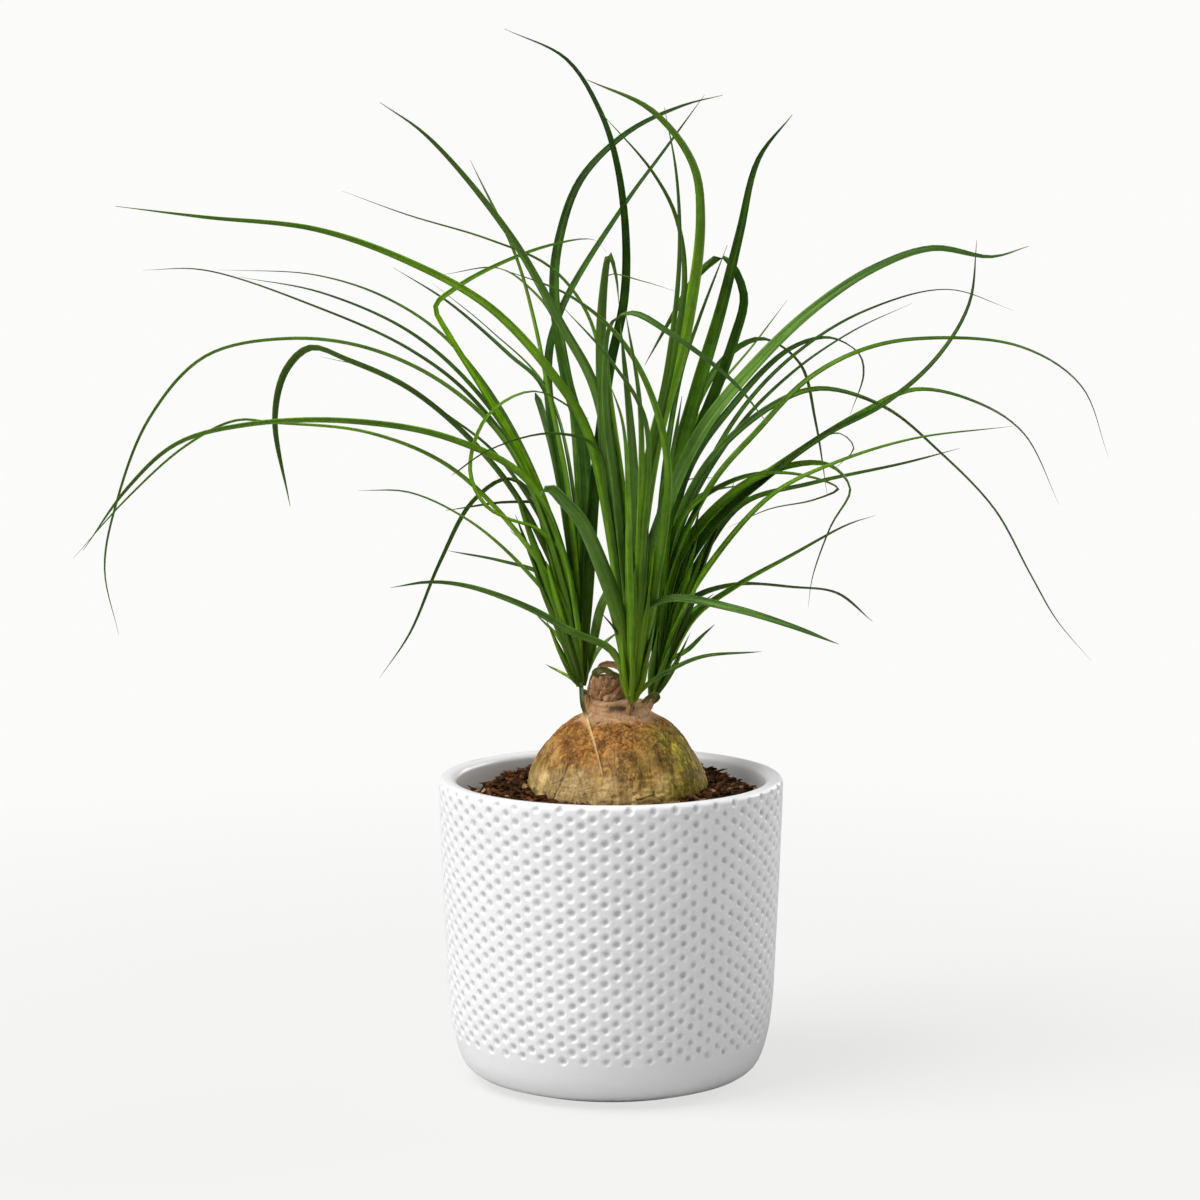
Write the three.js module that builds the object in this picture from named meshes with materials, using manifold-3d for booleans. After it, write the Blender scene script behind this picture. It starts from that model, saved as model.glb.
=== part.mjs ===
// A potted ponytail palm: a dimpled ceramic pot, potting mix, the swollen caudex and three crowns of leaves.
// Millimetres, +Z up, origin at the middle of the pot's foot. The plant is seen from -Y.
import * as THREE from "three";
import { mergeVertices } from "three/addons/utils/BufferGeometryUtils.js";
import Module from "manifold-3d";

const wasm = await Module();
wasm.setup();

// Pot
const FOOT_RADIUS = 56.6;
const POT_OUTER = [
  [FOOT_RADIUS, 0], [57.8, 1.6], [64.8, 2.9], [71.2, 6], [75, 10.4], [77.3, 15.4], [79, 23],
];
const POT_BAND_RADII = [[23, 79], [31, 80.4], [39, 81.4], [48, 82], [100, 84.3], [124, 85.2], [149.8, 86]];
const RIM_MIDDLE = 81.6;
const RIM_HALF_WIDTH = 4.4;
const RIM_CREST = 152.8;
const RIM_OUTER_DROP = 3;
const RIM_INNER_DROP = 4;
const POT_INNER = [[76.6, 140], [72.4, 22], [69.5, 12], [62, 8.6], [0, 8.2]];
const PITS_PER_ROW = 22;
const PIT_ROWS = 13;
const PIT_BAND = [23, 149.8];
const PIT_HALF_WIDTH = 5;
const PIT_HALF_HEIGHT = 3.5;
const PIT_DEPTH = 1.5;
const RIM_STEPS = 3;

// Potting mix. The gap keeps it clear of the pot and of the caudex.
const GAP = 0.3;
const SOIL_WALL = [[12, 69.2], [22, 72.1], [140, 76.3]];
const SOIL_FLOOR_RADIUS = 61;
const SOIL_WALL_HEIGHT = 140.6;
const SOIL_HEAP_HEIGHT = 149.2;
const HEAP_LEAN = 5;
const HEAP_DIP = 2;
const SOIL_MOUTH = 46.4;
const SOIL_LIP = [45.7, 142];
const SOIL_ROUGHNESS = 1.6;
const SOIL_SIDES = 30;
const HEAP_SHARES = [0.8, 0.55, 0.3, 0.12];
const HEAP_CURVE = 1.4;
const CHIP_COUNT = 14;
const CHIP_LENGTH = [7, 12];
const CHIP_WIDTH = [4, 6.5];
const CHIP_THICKNESS = 2.2;
const CHIP_TILT = 0.25;
const CHIP_RISE = 0.6;

// Caudex: the part in the soil, the bulb above it, the neck, the old stem's stub and its papery husks.
const CAUDEX_X = 3.3;
const CAUDEX_BURIED = [[0, 112], [13, 114], [28, 121], [38, 130], [43.4, 139]];
const CAUDEX_BULB = [
  [45.4, 147], [44.2, 153], [41.2, 160], [37.8, 165.5], [33.9, 171.5], [29.4, 176.4], [23.3, 180.8],
  [16, 185],
];
const CAUDEX_NECK = [[14.4, 188], [13.8, 190.2], [9, 191.6], [0, 192]];
const CAUDEX_SIDES = 26;
const STUB = { x: -1.4, y: 2.2, radius: 7.9, bottom: 186, top: 205, sides: 14 };
const STUB_PROFILE = [[1, -18.5], [0, -10.5], [0, -2], [-1.6, 0], [-3, -3]];
const STUB_HOLLOW = 4;
const HUSK_ANGLES = [0.3, 1.5, 2.9, 4.1, 5.3];
const HUSK = { radius: 2.4, height: 8, flatness: 0.4, inset: 1.6, rise: 0.6, sides: 5 };
const BRANCH = { buried: 12, narrowing: 1.5, taper: 1.2 };
const ROUND_SIDES = 12;

// Leaves
const VIEWPOINT = new THREE.Vector3(-5.5, -1860, 486);
const LEAF_THICKNESS = 1.3;
const TIP_WIDTH = 1.0;
const TIP_THICKNESS = 0.7;
const TAPER = 0.86;
const TAPER_POWER = 2.2;
const KEEL_SHARE = 0.7;
const DEPTH_POWER = 1.5;
const SEGMENT_LENGTH = 53;
const MOST_SEGMENTS = 3;
const ROOT = { share: 0.35, height: 3 };

// Each crown: where it stands on the caudex, which way it leans, and its leaves. A leaf is its width, or two
// widths where its end is blunt, the turn of its flat side in degrees, how far its tip stands behind (+) or
// before (-) the pot's middle, and the points of its midline from the base up, [x, z] as seen from the
// viewpoint in the plane y = 0.
const CROWNS = {
  crown_left: {
    foot: [-13.4, 3, 195],
    lean: [-0.3, 0.08, 0.94],
    core: 4.5,
    leaves: [
      [8, 12, 70, [-24, 250], [-42, 305], [-70, 343.5], [-100, 366.5], [-145, 387], [-200, 405],
        [-230, 404.8]],
      [5, 5, 120, [-24, 262], [-48, 325], [-80, 370], [-110, 391], [-145, 402.5], [-193, 405]],
      [6.5, 8, 95, [-22, 255], [-46, 315], [-70, 349], [-100, 375], [-143, 394], [-183, 401.5]],
      [8, 10, 30, [-24, 250], [-50, 317], [-80, 347.5], [-120, 366.7], [-160, 371.3], [-200, 362.5],
        [-228, 332], [-245, 290], [-251.5, 257], [-245, 224]],
      [9, 22, 10, [-24, 262], [-42, 301], [-80, 321.5], [-130, 330.2], [-180, 328.5], [-215, 319],
        [-240, 296.5], [-262, 266]],
      [7.5, 10, 45, [-22, 235], [-45, 273], [-80, 308], [-120, 325], [-166, 329.8], [-185, 331],
        [-210, 318.5], [-240, 292], [-267, 262]],
      [9, 28, 80, [-22, 240], [-45, 290], [-70, 321.5], [-100, 346.5], [-130, 360.5], [-148, 366.5],
        [-160, 356], [-166, 332], [-159, 288]],
      [5, 5, 100, [-26, 262], [-55, 312], [-80, 333], [-115, 355], [-143, 362.3]],
      [9, 45, 60, [-17, 250], [-22, 300], [-31, 345], [-38, 380], [-47, 412], [-69, 458.5]],
      [5, 24, 35, [-21, 250], [-40, 305], [-62, 344], [-80, 373], [-86.5, 387], [-78, 395], [-60, 405.5],
        [-30, 417], [-8, 419.5], [-2, 413]],
      [5, 8, 150, [-20, 260], [-33, 346], [-50, 363], [-80, 389], [-107, 406]],
      [5, 8, 60, [-18, 290], [-32, 347], [-60, 376], [-88, 398.5]],
      [5, 5, 170, [-16, 290], [-27, 378], [-40, 396], [-55, 405.8], [-83, 402.5]],
      [7, 15, 95, [-19, 270], [-31, 355], [-25, 384], [6, 436], [25, 462], [45.5, 490]],
      [8, 30, 60, [-12, 250], [-14, 320], [-22, 352], [-28, 395], [-25.5, 420], [-15, 449], [8, 472],
        [35, 485], [54.5, 490]],
      [8, 40, 25, [-12, 250], [-8, 305], [-1, 357], [6, 390], [7, 420], [3, 455], [-5, 481], [-22, 507.5],
        [-52, 522]],
      [7, 8, 25, [-22, 229], [-42, 256], [-70, 281], [-100, 295.3], [-125, 296]],
      [7, 14, 50, [-22, 250], [-36, 289], [-50, 302], [-68, 291], [-85, 260], [-100, 225], [-115.5, 202]],
      [7, 10, 15, [-25, 265], [-33, 288], [-50, 290.3], [-82, 286]],
      [4, 5, 140, [-20, 235], [-35, 262.5], [-50, 276]],
      [7, 12, 100, [-20, 240], [-35, 254.5], [-55, 261], [-81, 266]],
      [6, 15, 60, [-18, 207], [-25, 221], [-38, 235]],
      [[5.5, 3], 15, 30, [-18, 200.5], [-22, 203.5], [-32.5, 209]],
      [5, 10, -10, [-15.6, 215], [-18, 237], [-22.5, 262], [-29, 279], [-35.5, 292]],
      [[8, 4.4], 30, 60, [-20, 265], [-28, 312], [-34, 334], [-37.5, 344.5]],
      [[3.5, 1.8], 12, 5, [-20, 255], [-36, 276.5], [-50, 281.5], [-62, 288.5], [-69.7, 306], [-61, 333],
        [-38, 345.4], [-11, 331.5]],
      [4, 10, 90, [-9, 212], [-4, 219], [4.5, 226]],
      [6, 20, 120, [-10, 215], [-5, 238], [4, 254], [16, 275]],
    ],
  },
  crown_front: {
    foot: [10.5, -13, 193],
    lean: [0.04, -0.25, 0.96],
    core: 5.4,
    leaves: [
      [9, 12, -50, [0, 215.5], [-20, 225], [-40, 236.5], [-70, 247.8], [-90, 250.3], [-109.5, 247.5]],
      [11, 8, -45, [8, 230], [1, 285], [-4, 345], [-4.5, 385], [-0.8, 412.5], [2.4, 402], [3.8, 388]],
      [8, 35, -90, [9, 235], [3, 290], [-3, 350], [1, 380], [10, 383.7], [30, 373], [60, 350],
        [77.5, 329]],
      [[10, 5], 60, -75, [5, 230], [-4, 257], [-15, 281], [-24, 291], [-29.5, 296.5], [-33.5, 296.5],
        [-35, 292.5]],
      [6.5, 45, -95, [3, 250], [-12, 325], [-28, 352], [-60, 386.5], [-100, 409], [-145, 424.7],
        [-200, 430.7], [-243, 436]],
      [9, 25, -60, [5, 262], [-8, 345], [-25, 378], [-50, 422], [-90, 470], [-113, 486.5]],
      [6, 10, -34, [7, 270], [-3, 350], [-12, 384], [-30, 406.5], [-60, 420], [-100, 432], [-132, 443.5]],
      [5.5, 8, -120, [20, 240], [28, 305], [20, 342.5], [4, 371.5], [-20, 392], [-57, 406.5]],
      [4, 5, -150, [16, 270], [17, 330], [0, 360], [-24, 387]],
      [10, 78, -22, [12, 250], [22, 320], [37, 375], [44, 430], [40, 457], [20, 482.5], [-12, 497.5]],
      [5.5, 10, -55, [14, 280], [30, 360], [36, 400], [32, 430], [20, 453], [-5, 481.5]],
      [4.5, 5, -75, [13, 280], [28, 358], [33.5, 410], [32, 451], [26, 484]],
      [5, 10, -130, [14, 260], [14.5, 335], [7, 385]],
      [8, 10, -105, [12, 250], [11, 310], [4.5, 379]],
      [4, 5, -145, [9, 270], [6, 328], [-1, 350]],
      [[4.5, 2], 15, -65, [5, 240], [-2, 290], [-8, 318], [-30, 324.5], [-60, 316.5], [-79, 303.5]],
      [4.5, 5, -40, [8, 280], [-2, 360], [-2.5, 402], [15, 399.5], [31, 394.6]],
      [9, 14, -70, [14, 215], [18, 236], [30, 241.7], [60, 237], [90, 228], [113.5, 219]],
      [8, 14, -45, [18, 199], [30, 206.5], [45, 212.8], [75, 215.5]],
      [5, 10, -28, [6, 215], [3, 225], [-5, 235]],
      [8, 15, -45, [16, 212], [21, 236], [25, 268], [29, 305], [35, 343]],
      [10, 65, -62, [13, 235], [27, 285], [45, 325], [70, 357], [100, 386], [130, 406], [158, 415.5],
        [187, 411.3], [205, 416.5]],
    ],
  },
  crown_right: {
    foot: [20.4, 9, 190.4],
    lean: [0.3, 0.15, 0.94],
    core: 5.2,
    leaves: [
      [9, 18, 60, [30, 240], [50, 277], [78, 303], [105, 323], [135, 339], [160, 361], [176, 388],
        [179.5, 419.5]],
      [5, 5, 120, [30, 262], [50, 312], [70, 343], [95, 367], [125, 385], [165, 395.5], [198, 385]],
      [4.5, 4, 150, [34, 275], [62, 326], [90, 355], [120, 375.5], [148, 388.5]],
      [7, 8, 40, [28, 250], [50, 299], [72, 325], [97, 351], [125, 366], [155, 371.3], [202, 367.2],
        [232, 348], [246, 312.5]],
      [7.5, 10, 90, [28, 262], [48, 309], [80, 338], [103, 346.4], [135, 337.5], [163, 315], [190, 287],
        [208, 255], [222, 231], [239, 211]],
      [7, 12, 100, [32, 250], [60, 290], [90, 313], [125, 335], [150, 346], [180, 340], [204, 324.5],
        [222, 289]],
      [8, 12, 20, [30, 225], [50, 260], [80, 294], [110, 309.5], [150, 322], [199, 328]],
      [7.5, 10, 75, [28, 225], [45, 262], [65, 289], [100, 299.7], [145, 309.7], [172.5, 317]],
      [6.5, 12, 130, [30, 300], [48, 350], [63, 367], [76, 371], [93, 359], [101, 330], [107, 294]],
      [4.5, 5, 170, [34, 310], [50, 343], [70, 368], [86.5, 390]],
      [6, 12, 140, [36, 300], [60, 338], [88, 366], [108, 371.7], [122, 364], [124.5, 354], [118, 333.5]],
      [5, 10, 110, [40, 270], [75, 300], [97, 319], [113, 324.5], [120, 317], [112, 308]],
      [8, 14, 50, [34, 262], [60, 294], [84, 307], [108, 308.5], [118.5, 297], [109, 278], [100, 252],
        [98, 237.5]],
      [6, 10, 30, [34, 280], [62, 301.5], [90, 304.5], [112.5, 297], [100, 291], [78, 286.5],
        [58, 277.5]],
      [5, 8, 150, [32, 270], [42, 292], [68, 299.5]],
      [8, 14, 35, [30, 212], [42, 233], [62, 248], [90, 264], [118, 279.5], [131, 283.5]],
      [7, 10, 100, [28, 222], [40, 241], [62, 249.2], [90, 248], [112, 245], [130, 230.5]],
      [5.5, 12, 60, [26, 208], [38, 216], [46, 224], [51.5, 229]],
      [5.5, 10, 90, [27, 212], [38, 233], [51, 244.5]],
      [6, 10, 110, [30, 265], [36, 300], [52, 302.5]],
      [10.5, 68, 30, [26, 280], [42, 345], [54, 386], [63, 423], [72, 459], [88.5, 480.5]],
      [9, 62, 45, [28, 285], [45, 330], [60, 370], [65, 393], [55, 411], [43, 403], [30, 382],
        [16.5, 358]],
      [4.5, 5, 180, [25, 290], [34, 352], [43, 380], [57, 417]],
    ],
  },
};

// The young leaves in the heart of each crown stand evenly round it. Each passes [spread, height], as shares
// of the core's radius and of its own length.
const HEART_LEAVES = 6;
const HEART_LEAF_WIDTH = 7.5;
const HEART_LEAF_LENGTH = [55, 95];
const HEART_LEAF_COURSE = [[0.3, 0], [0.7, 0.45], [1.3, 1]];
const HEART_LEAF_FOOT = 4;
const HEART_PROFILE = [[-1.2, 0], [0, 3], [0.3, 8], [-1.5, 15]];
const HEART_TOP = 19;

// The withered leaf, as [x, z] seen from the viewpoint; from its third point on it lies on the caudex.
const WITHERED_HANGING = [[-15.2, 194], [-14.3, 189.3]];
const WITHERED_LYING = [
  [-13.1, 185], [-12, 180.6], [-10.6, 175.6], [-8.9, 170.2], [-7.4, 164.6], [-5.8, 158.6], [-4.6, 153.2],
];
const WITHERED_WIDTH = 2.4;
const WITHERED_THICKNESS = 0.8;
const WITHERED_RISE = 1.9;
const WITHERED_DEPTHS = [-3.5, -8.5];

// A repeatable source of numbers from 0 to 1.
function makeRandom(seed) {
  let state = seed;
  return () => {
    state = (Math.imul(state, 1664525) + 1013904223) >>> 0;
    return state / 2 ** 32;
  };
}

const between = ([low, high], share) => low + (high - low) * share;

// Height or radius read off a list of [position, value] points, with straight lines between them.
function readOff(points, position) {
  const last = points.length - 1;
  if (position <= points[0][0]) return points[0][1];
  if (position >= points[last][0]) return points[last][1];
  const i = points.findIndex(([place]) => place > position);
  const share = (position - points[i - 1][0]) / (points[i][0] - points[i - 1][0]);
  return points[i - 1][1] + share * (points[i][1] - points[i - 1][1]);
}

// A closed skin is gathered as points and triangles. Triangles that have shrunk to a line are left out.
class Skin {
  constructor() {
    this.points = [];
    this.faces = [];
  }
  point(x, y, z) {
    this.points.push(x, y, z);
    return this.points.length / 3 - 1;
  }
  polar(radius, angle, z, centreX = 0) {
    return this.point(centreX + radius * Math.cos(angle), radius * Math.sin(angle), z);
  }
  triangle(a, b, c) {
    if (a !== b && b !== c && c !== a) this.faces.push(a, b, c);
  }
  // Joins two rings of equal count, the second one further along the outline.
  bridge(ring, next) {
    ring.forEach((corner, i) => {
      const j = (i + 1) % ring.length;
      this.triangle(corner, ring[j], next[j]);
      this.triangle(corner, next[j], next[i]);
    });
  }
  geometry() {
    const made = new THREE.BufferGeometry();
    made.setAttribute("position", new THREE.Float32BufferAttribute(this.points, 3));
    made.setIndex(this.faces);
    return made;
  }
}

// A turned skin: an outline of [radius, height] from the axis out and back to the axis. place may move each
// point: it gives the radius, the height and the shift along X.
function turned(outline, sides, place = (radius, angle, z) => [radius, z, 0]) {
  const skin = new Skin();
  const rings = outline.map(([radius, z]) => {
    if (radius === 0) {
      const [, height, shift] = place(0, 0, z);
      return new Array(sides).fill(skin.point(shift, 0, height));
    }
    return Array.from({ length: sides }, (unused, i) => {
      const angle = (2 * Math.PI * i) / sides;
      const [r, height, shift] = place(radius, angle, z);
      return skin.polar(r, angle, height, shift);
    });
  });
  rings.slice(1).forEach((ring, i) => skin.bridge(rings[i], ring));
  return skin.geometry();
}

function solidOf(geometry) {
  const bare = geometry.index ? geometry.toNonIndexed() : geometry.clone();
  bare.deleteAttribute("normal");
  bare.deleteAttribute("uv");
  const merged = mergeVertices(bare, 1e-4);
  return new wasm.Manifold(
    new wasm.Mesh({
      numProp: 3,
      vertProperties: merged.attributes.position.array,
      triVerts: new Uint32Array(merged.index.array),
    }),
  );
}

// Joins closed shapes into one body. Hollows that the joint seals are filled and loose scraps are dropped.
function joined(geometries) {
  const whole = geometries.map(solidOf).reduce((sum, solid) => sum.add(solid));
  const largest = whole.decompose().reduce((most, body) => (body.volume() > most.volume() ? body : most));
  const mesh = largest.getMesh();
  const made = new THREE.BufferGeometry();
  made.setAttribute("position", new THREE.Float32BufferAttribute(mesh.vertProperties, 3));
  made.setIndex(new THREE.BufferAttribute(mesh.triVerts, 1));
  return made;
}

// The point at a given depth that the viewpoint sees where [x, z] of the plane y = 0 is.
function onSightLine([x, z], depth) {
  return new THREE.Vector3(x, 0, z).sub(VIEWPOINT).multiplyScalar(1 - depth / VIEWPOINT.y).add(VIEWPOINT);
}

function rimOutline() {
  const arc = (from, to, drop) =>
    Array.from({ length: RIM_STEPS }, (unused, step) => {
      const angle = from + ((to - from) * step) / RIM_STEPS;
      return [RIM_MIDDLE + RIM_HALF_WIDTH * Math.cos(angle), RIM_CREST - drop + drop * Math.sin(angle)];
    });
  return [...arc(0, Math.PI / 2, RIM_OUTER_DROP), ...arc(Math.PI / 2, Math.PI, RIM_INNER_DROP)];
}

// The pot: staggered pits in the outer wall, five points each, between a smooth foot and a rolled rim.
function potGeometry() {
  const skin = new Skin();
  const columns = 2 * PITS_PER_ROW;
  const step = (2 * Math.PI) / columns;
  const ringAt = ([radius, z]) =>
    Array.from({ length: columns }, (unused, i) => skin.polar(radius, i * step, z));
  const centre = (z) => new Array(columns).fill(skin.point(0, 0, z));
  const lower = [centre(0), ...POT_OUTER.map(ringAt)];
  const [, floorHeight] = POT_INNER.at(-1);
  const inner = [...POT_INNER.slice(0, -1).map(ringAt), centre(floorHeight)];
  const upper = [...rimOutline().map(ringAt), ...inner];
  lower.slice(1).forEach((ring, i) => skin.bridge(lower[i], ring));
  upper.slice(1).forEach((ring, i) => skin.bridge(upper[i], ring));

  const pitch = (PIT_BAND[1] - PIT_BAND[0]) / (PIT_ROWS + 1);
  const column = (i) => (i + columns) % columns;
  const pits = Array.from({ length: PIT_ROWS }, (unused, row) =>
    Array.from({ length: columns }, (alsoUnused, i) => {
      if ((i + row) % 2) return null;
      const z = PIT_BAND[0] + pitch * (row + 1);
      const radius = readOff(POT_BAND_RADII, z);
      const half = PIT_HALF_WIDTH / radius;
      return {
        middle: skin.polar(radius - PIT_DEPTH, i * step, z),
        left: skin.polar(radius, i * step - half, z),
        right: skin.polar(radius, i * step + half, z),
        top: skin.polar(readOff(POT_BAND_RADII, z + PIT_HALF_HEIGHT), i * step, z + PIT_HALF_HEIGHT),
        bottom: skin.polar(readOff(POT_BAND_RADII, z - PIT_HALF_HEIGHT), i * step, z - PIT_HALF_HEIGHT),
      };
    }),
  );
  // Beyond the band a pit shrinks to one corner of the plain ring there.
  const pitAt = (i, row) => {
    if (row >= 0 && row < PIT_ROWS) return pits[row][column(i)];
    const corner = (row < 0 ? lower.at(-1) : upper[0])[column(i)];
    return { left: corner, right: corner, top: corner, bottom: corner };
  };
  for (let row = -1; row <= PIT_ROWS; row += 1) {
    for (let i = 0; i < columns; i += 1) {
      const isPit = (i + row + 2) % 2 === 0;
      const inside = row >= 0 && row < PIT_ROWS;
      if (isPit) {
        const pit = pitAt(i, row);
        if (inside) {
          skin.triangle(pit.middle, pit.bottom, pit.right);
          skin.triangle(pit.middle, pit.right, pit.top);
          skin.triangle(pit.middle, pit.top, pit.left);
          skin.triangle(pit.middle, pit.left, pit.bottom);
        }
        if (row < PIT_ROWS) {
          const right = pitAt(i + 1, row + 1);
          skin.triangle(pit.right, right.bottom, right.left);
          skin.triangle(pit.right, right.left, pit.top);
          const left = pitAt(i - 1, row + 1);
          skin.triangle(pit.left, pit.top, left.right);
          skin.triangle(pit.left, left.right, left.bottom);
        }
      } else {
        const above = row < PIT_ROWS ? pitAt(i, row + 1).bottom : pitAt(i, row).top;
        const below = row >= 0 ? pitAt(i, row - 1).top : pitAt(i, row).bottom;
        skin.triangle(pitAt(i - 1, row).right, below, pitAt(i + 1, row).left);
        skin.triangle(pitAt(i - 1, row).right, pitAt(i + 1, row).left, above);
      }
    }
  }
  return skin.geometry();
}

// How far the soil's surface stands above its even cone.
function soilRelief(radius, angle) {
  const chips = Math.sin(angle * 19 + radius * 1.7) + Math.sin(angle * 31 - radius * 2.3);
  return SOIL_ROUGHNESS * 0.5 * chips;
}

// How far the caudex's bark stands out beyond its turned shape.
function caudexLump(angle, z) {
  return 0.45 * Math.sin(3 * angle + z * 0.11) + 0.3 * Math.sin(7 * angle - z * 0.2);
}

// The mound's height, from the caudex (share 0) out to the pot's wall (share 1). It is higher at the back.
function heapHeight(share) {
  return SOIL_HEAP_HEIGHT + share ** HEAP_CURVE * (SOIL_WALL_HEIGHT - SOIL_HEAP_HEIGHT);
}

function heapLean(share, angle) {
  return HEAP_LEAN * (1 - share) * Math.sin(angle) - HEAP_DIP * share * Math.max(0, -Math.cos(angle));
}

// The mix fills the pot from its inner floor and has a pocket for the buried part of the caudex.
function soilGeometry() {
  const wallPoint = (z) => [readOff(SOIL_WALL, z), z];
  const pocket = CAUDEX_BURIED.map(([radius, z]) => [radius ? radius + 2 * GAP : 0, z - 2 * GAP]);
  pocket.push(SOIL_LIP);
  const edge = readOff(SOIL_WALL, SOIL_WALL_HEIGHT);
  const mouth = SOIL_MOUTH;
  const floor = POT_INNER.at(-1)[1] + 3 * GAP;
  const outline = [
    [0, floor], [SOIL_FLOOR_RADIUS, floor], wallPoint(13), wallPoint(22), wallPoint(80),
    wallPoint(SOIL_WALL_HEIGHT),
    ...HEAP_SHARES.map((share) => [between([mouth, edge], share), heapHeight(share)]),
    [mouth, SOIL_HEAP_HEIGHT], ...pocket.reverse(),
  ];
  // The rings move over to the caudex's own axis as they near it, and only the heap's surface is rough.
  const deepest = CAUDEX_BURIED[0][1] - 3 * GAP;
  const body = turned(outline, SOIL_SIDES, (radius, angle, z) => {
    const nearness = THREE.MathUtils.clamp((edge - radius) / (edge - mouth), 0, 1);
    const onTop = radius > mouth - 0.1 && z > SOIL_WALL_HEIGHT;
    const rough = onTop && radius > mouth + 1 && radius < edge - 1;
    const shift = z > deepest ? CAUDEX_X * nearness : 0;
    const level = onTop ? z + heapLean(1 - nearness, angle) : z;
    return [radius, rough ? level + soilRelief(radius, angle) : level, shift];
  });
  const random = makeRandom(11);
  const chips = Array.from({ length: CHIP_COUNT }, (unused, i) => {
    const angle = (2 * Math.PI * (i + 0.6 * random())) / CHIP_COUNT;
    const share = between([0.2, 0.8], random());
    const radius = between([mouth, edge], share);
    const length = between(CHIP_LENGTH, random());
    const chip = new THREE.BoxGeometry(length, between(CHIP_WIDTH, random()), CHIP_THICKNESS);
    chip.rotateX(between([-CHIP_TILT, CHIP_TILT], random()));
    chip.rotateY(between([-CHIP_TILT, CHIP_TILT], random()));
    chip.rotateZ(2 * Math.PI * random());
    const x = CAUDEX_X * (1 - share) + radius * Math.cos(angle);
    const level = heapHeight(share) + heapLean(share, angle);
    return chip.translate(x, radius * Math.sin(angle), level + CHIP_RISE);
  });
  return joined([body, ...chips]);
}

// A frame whose z axis is the crown's own axis, with its origin at the crown's foot.
function crownFrame({ foot, lean }) {
  const axis = new THREE.Vector3(...lean).normalize();
  const turn = new THREE.Quaternion().setFromUnitVectors(new THREE.Vector3(0, 0, 1), axis);
  return new THREE.Matrix4().compose(new THREE.Vector3(...foot), turn, new THREE.Vector3(1, 1, 1));
}

// The rough stub of the old stem, with a low hollow in its uneven top.
function stubGeometry() {
  const { x, y, radius, bottom, top, sides } = STUB;
  const wall = STUB_PROFILE.map(([beyond, drop]) => [radius + beyond, top + drop]);
  const outline = [[0, bottom], ...wall, [0, top - STUB_HOLLOW]];
  const stub = turned(outline, sides, (ringRadius, angle, z) => {
    const uneven = z > top - STUB_HOLLOW - 1 ? 0.8 * Math.sin(2 * angle) : 0;
    return [ringRadius * (1 + 0.07 * Math.sin(3 * angle)), z + uneven, 0];
  });
  return stub.translate(x, y, 0);
}

// One papery flake on the stub's rim.
function huskGeometry(angle) {
  const husk = new THREE.ConeGeometry(HUSK.radius, HUSK.height, HUSK.sides);
  husk.scale(1, 1, HUSK.flatness);
  husk.rotateX(Math.PI / 2);
  husk.rotateZ(angle);
  const out = STUB.radius - HUSK.inset;
  return husk.translate(STUB.x - out * Math.sin(angle), STUB.y + out * Math.cos(angle), STUB.top + HUSK.rise);
}

// The short branch that carries a crown. It ends just short of the crown's foot.
function branchGeometry(crown) {
  const low = crown.core - BRANCH.narrowing;
  const high = crown.core - BRANCH.taper;
  const outline = [[0, -BRANCH.buried], [low, -BRANCH.buried], [high, -GAP], [0, -GAP]];
  return turned(outline, ROUND_SIDES).applyMatrix4(crownFrame(crown));
}

// The caudex grew as one piece: the bulb and its neck, the old stem's stub, and the crowns' branches.
function caudexGeometry() {
  const outline = [...CAUDEX_BURIED, ...CAUDEX_BULB, ...CAUDEX_NECK];
  const bulb = turned(outline, CAUDEX_SIDES, (radius, angle, z) => {
    const shows = THREE.MathUtils.smoothstep(z, SOIL_HEAP_HEIGHT + 1, SOIL_HEAP_HEIGHT + 12);
    return [radius + shows * caudexLump(angle, z), z, CAUDEX_X];
  });
  const branches = Object.values(CROWNS).map(branchGeometry);
  return joined([bulb, stubGeometry(), ...branches, ...HUSK_ANGLES.map(huskGeometry)]);
}

// A blade along a midline: flat on top with a keel below, closed at both ends. side gives its broad
// direction.
function bladeGeometry(midline, side, widthAt, thicknessAt) {
  const skin = new Skin();
  const last = midline.length - 1;
  const sections = midline.map((point, i) => {
    const ahead = midline[Math.min(i + 1, last)].clone().sub(midline[Math.max(i - 1, 0)]).normalize();
    const across = side(ahead);
    const up = across.clone().cross(ahead).normalize();
    const share = i / last;
    const corner = (outwards, upwards) => {
      const place = point.clone().addScaledVector(across, outwards).addScaledVector(up, upwards);
      return skin.point(place.x, place.y, place.z);
    };
    const half = widthAt(share) / 2;
    const thick = thicknessAt(share);
    const edge = (1 - KEEL_SHARE) * thick;
    return [corner(-half, edge), corner(0, -KEEL_SHARE * thick), corner(half, edge)];
  });
  // Each strip is split from its lower left to its upper right corner, so the two faces never cross.
  sections.slice(1).forEach((next, i) => {
    const [left, keel, right] = sections[i];
    const [nextLeft, nextKeel, nextRight] = next;
    skin.triangle(left, nextLeft, nextKeel);
    skin.triangle(left, nextKeel, keel);
    skin.triangle(keel, nextKeel, nextRight);
    skin.triangle(keel, nextRight, right);
    skin.triangle(left, nextRight, nextLeft);
    skin.triangle(left, right, nextRight);
  });
  const [firstLeft, firstKeel, firstRight] = sections[0];
  skin.triangle(firstLeft, firstKeel, firstRight);
  const [lastLeft, lastKeel, lastRight] = sections[last];
  skin.triangle(lastLeft, lastRight, lastKeel);
  return skin.geometry();
}

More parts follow.
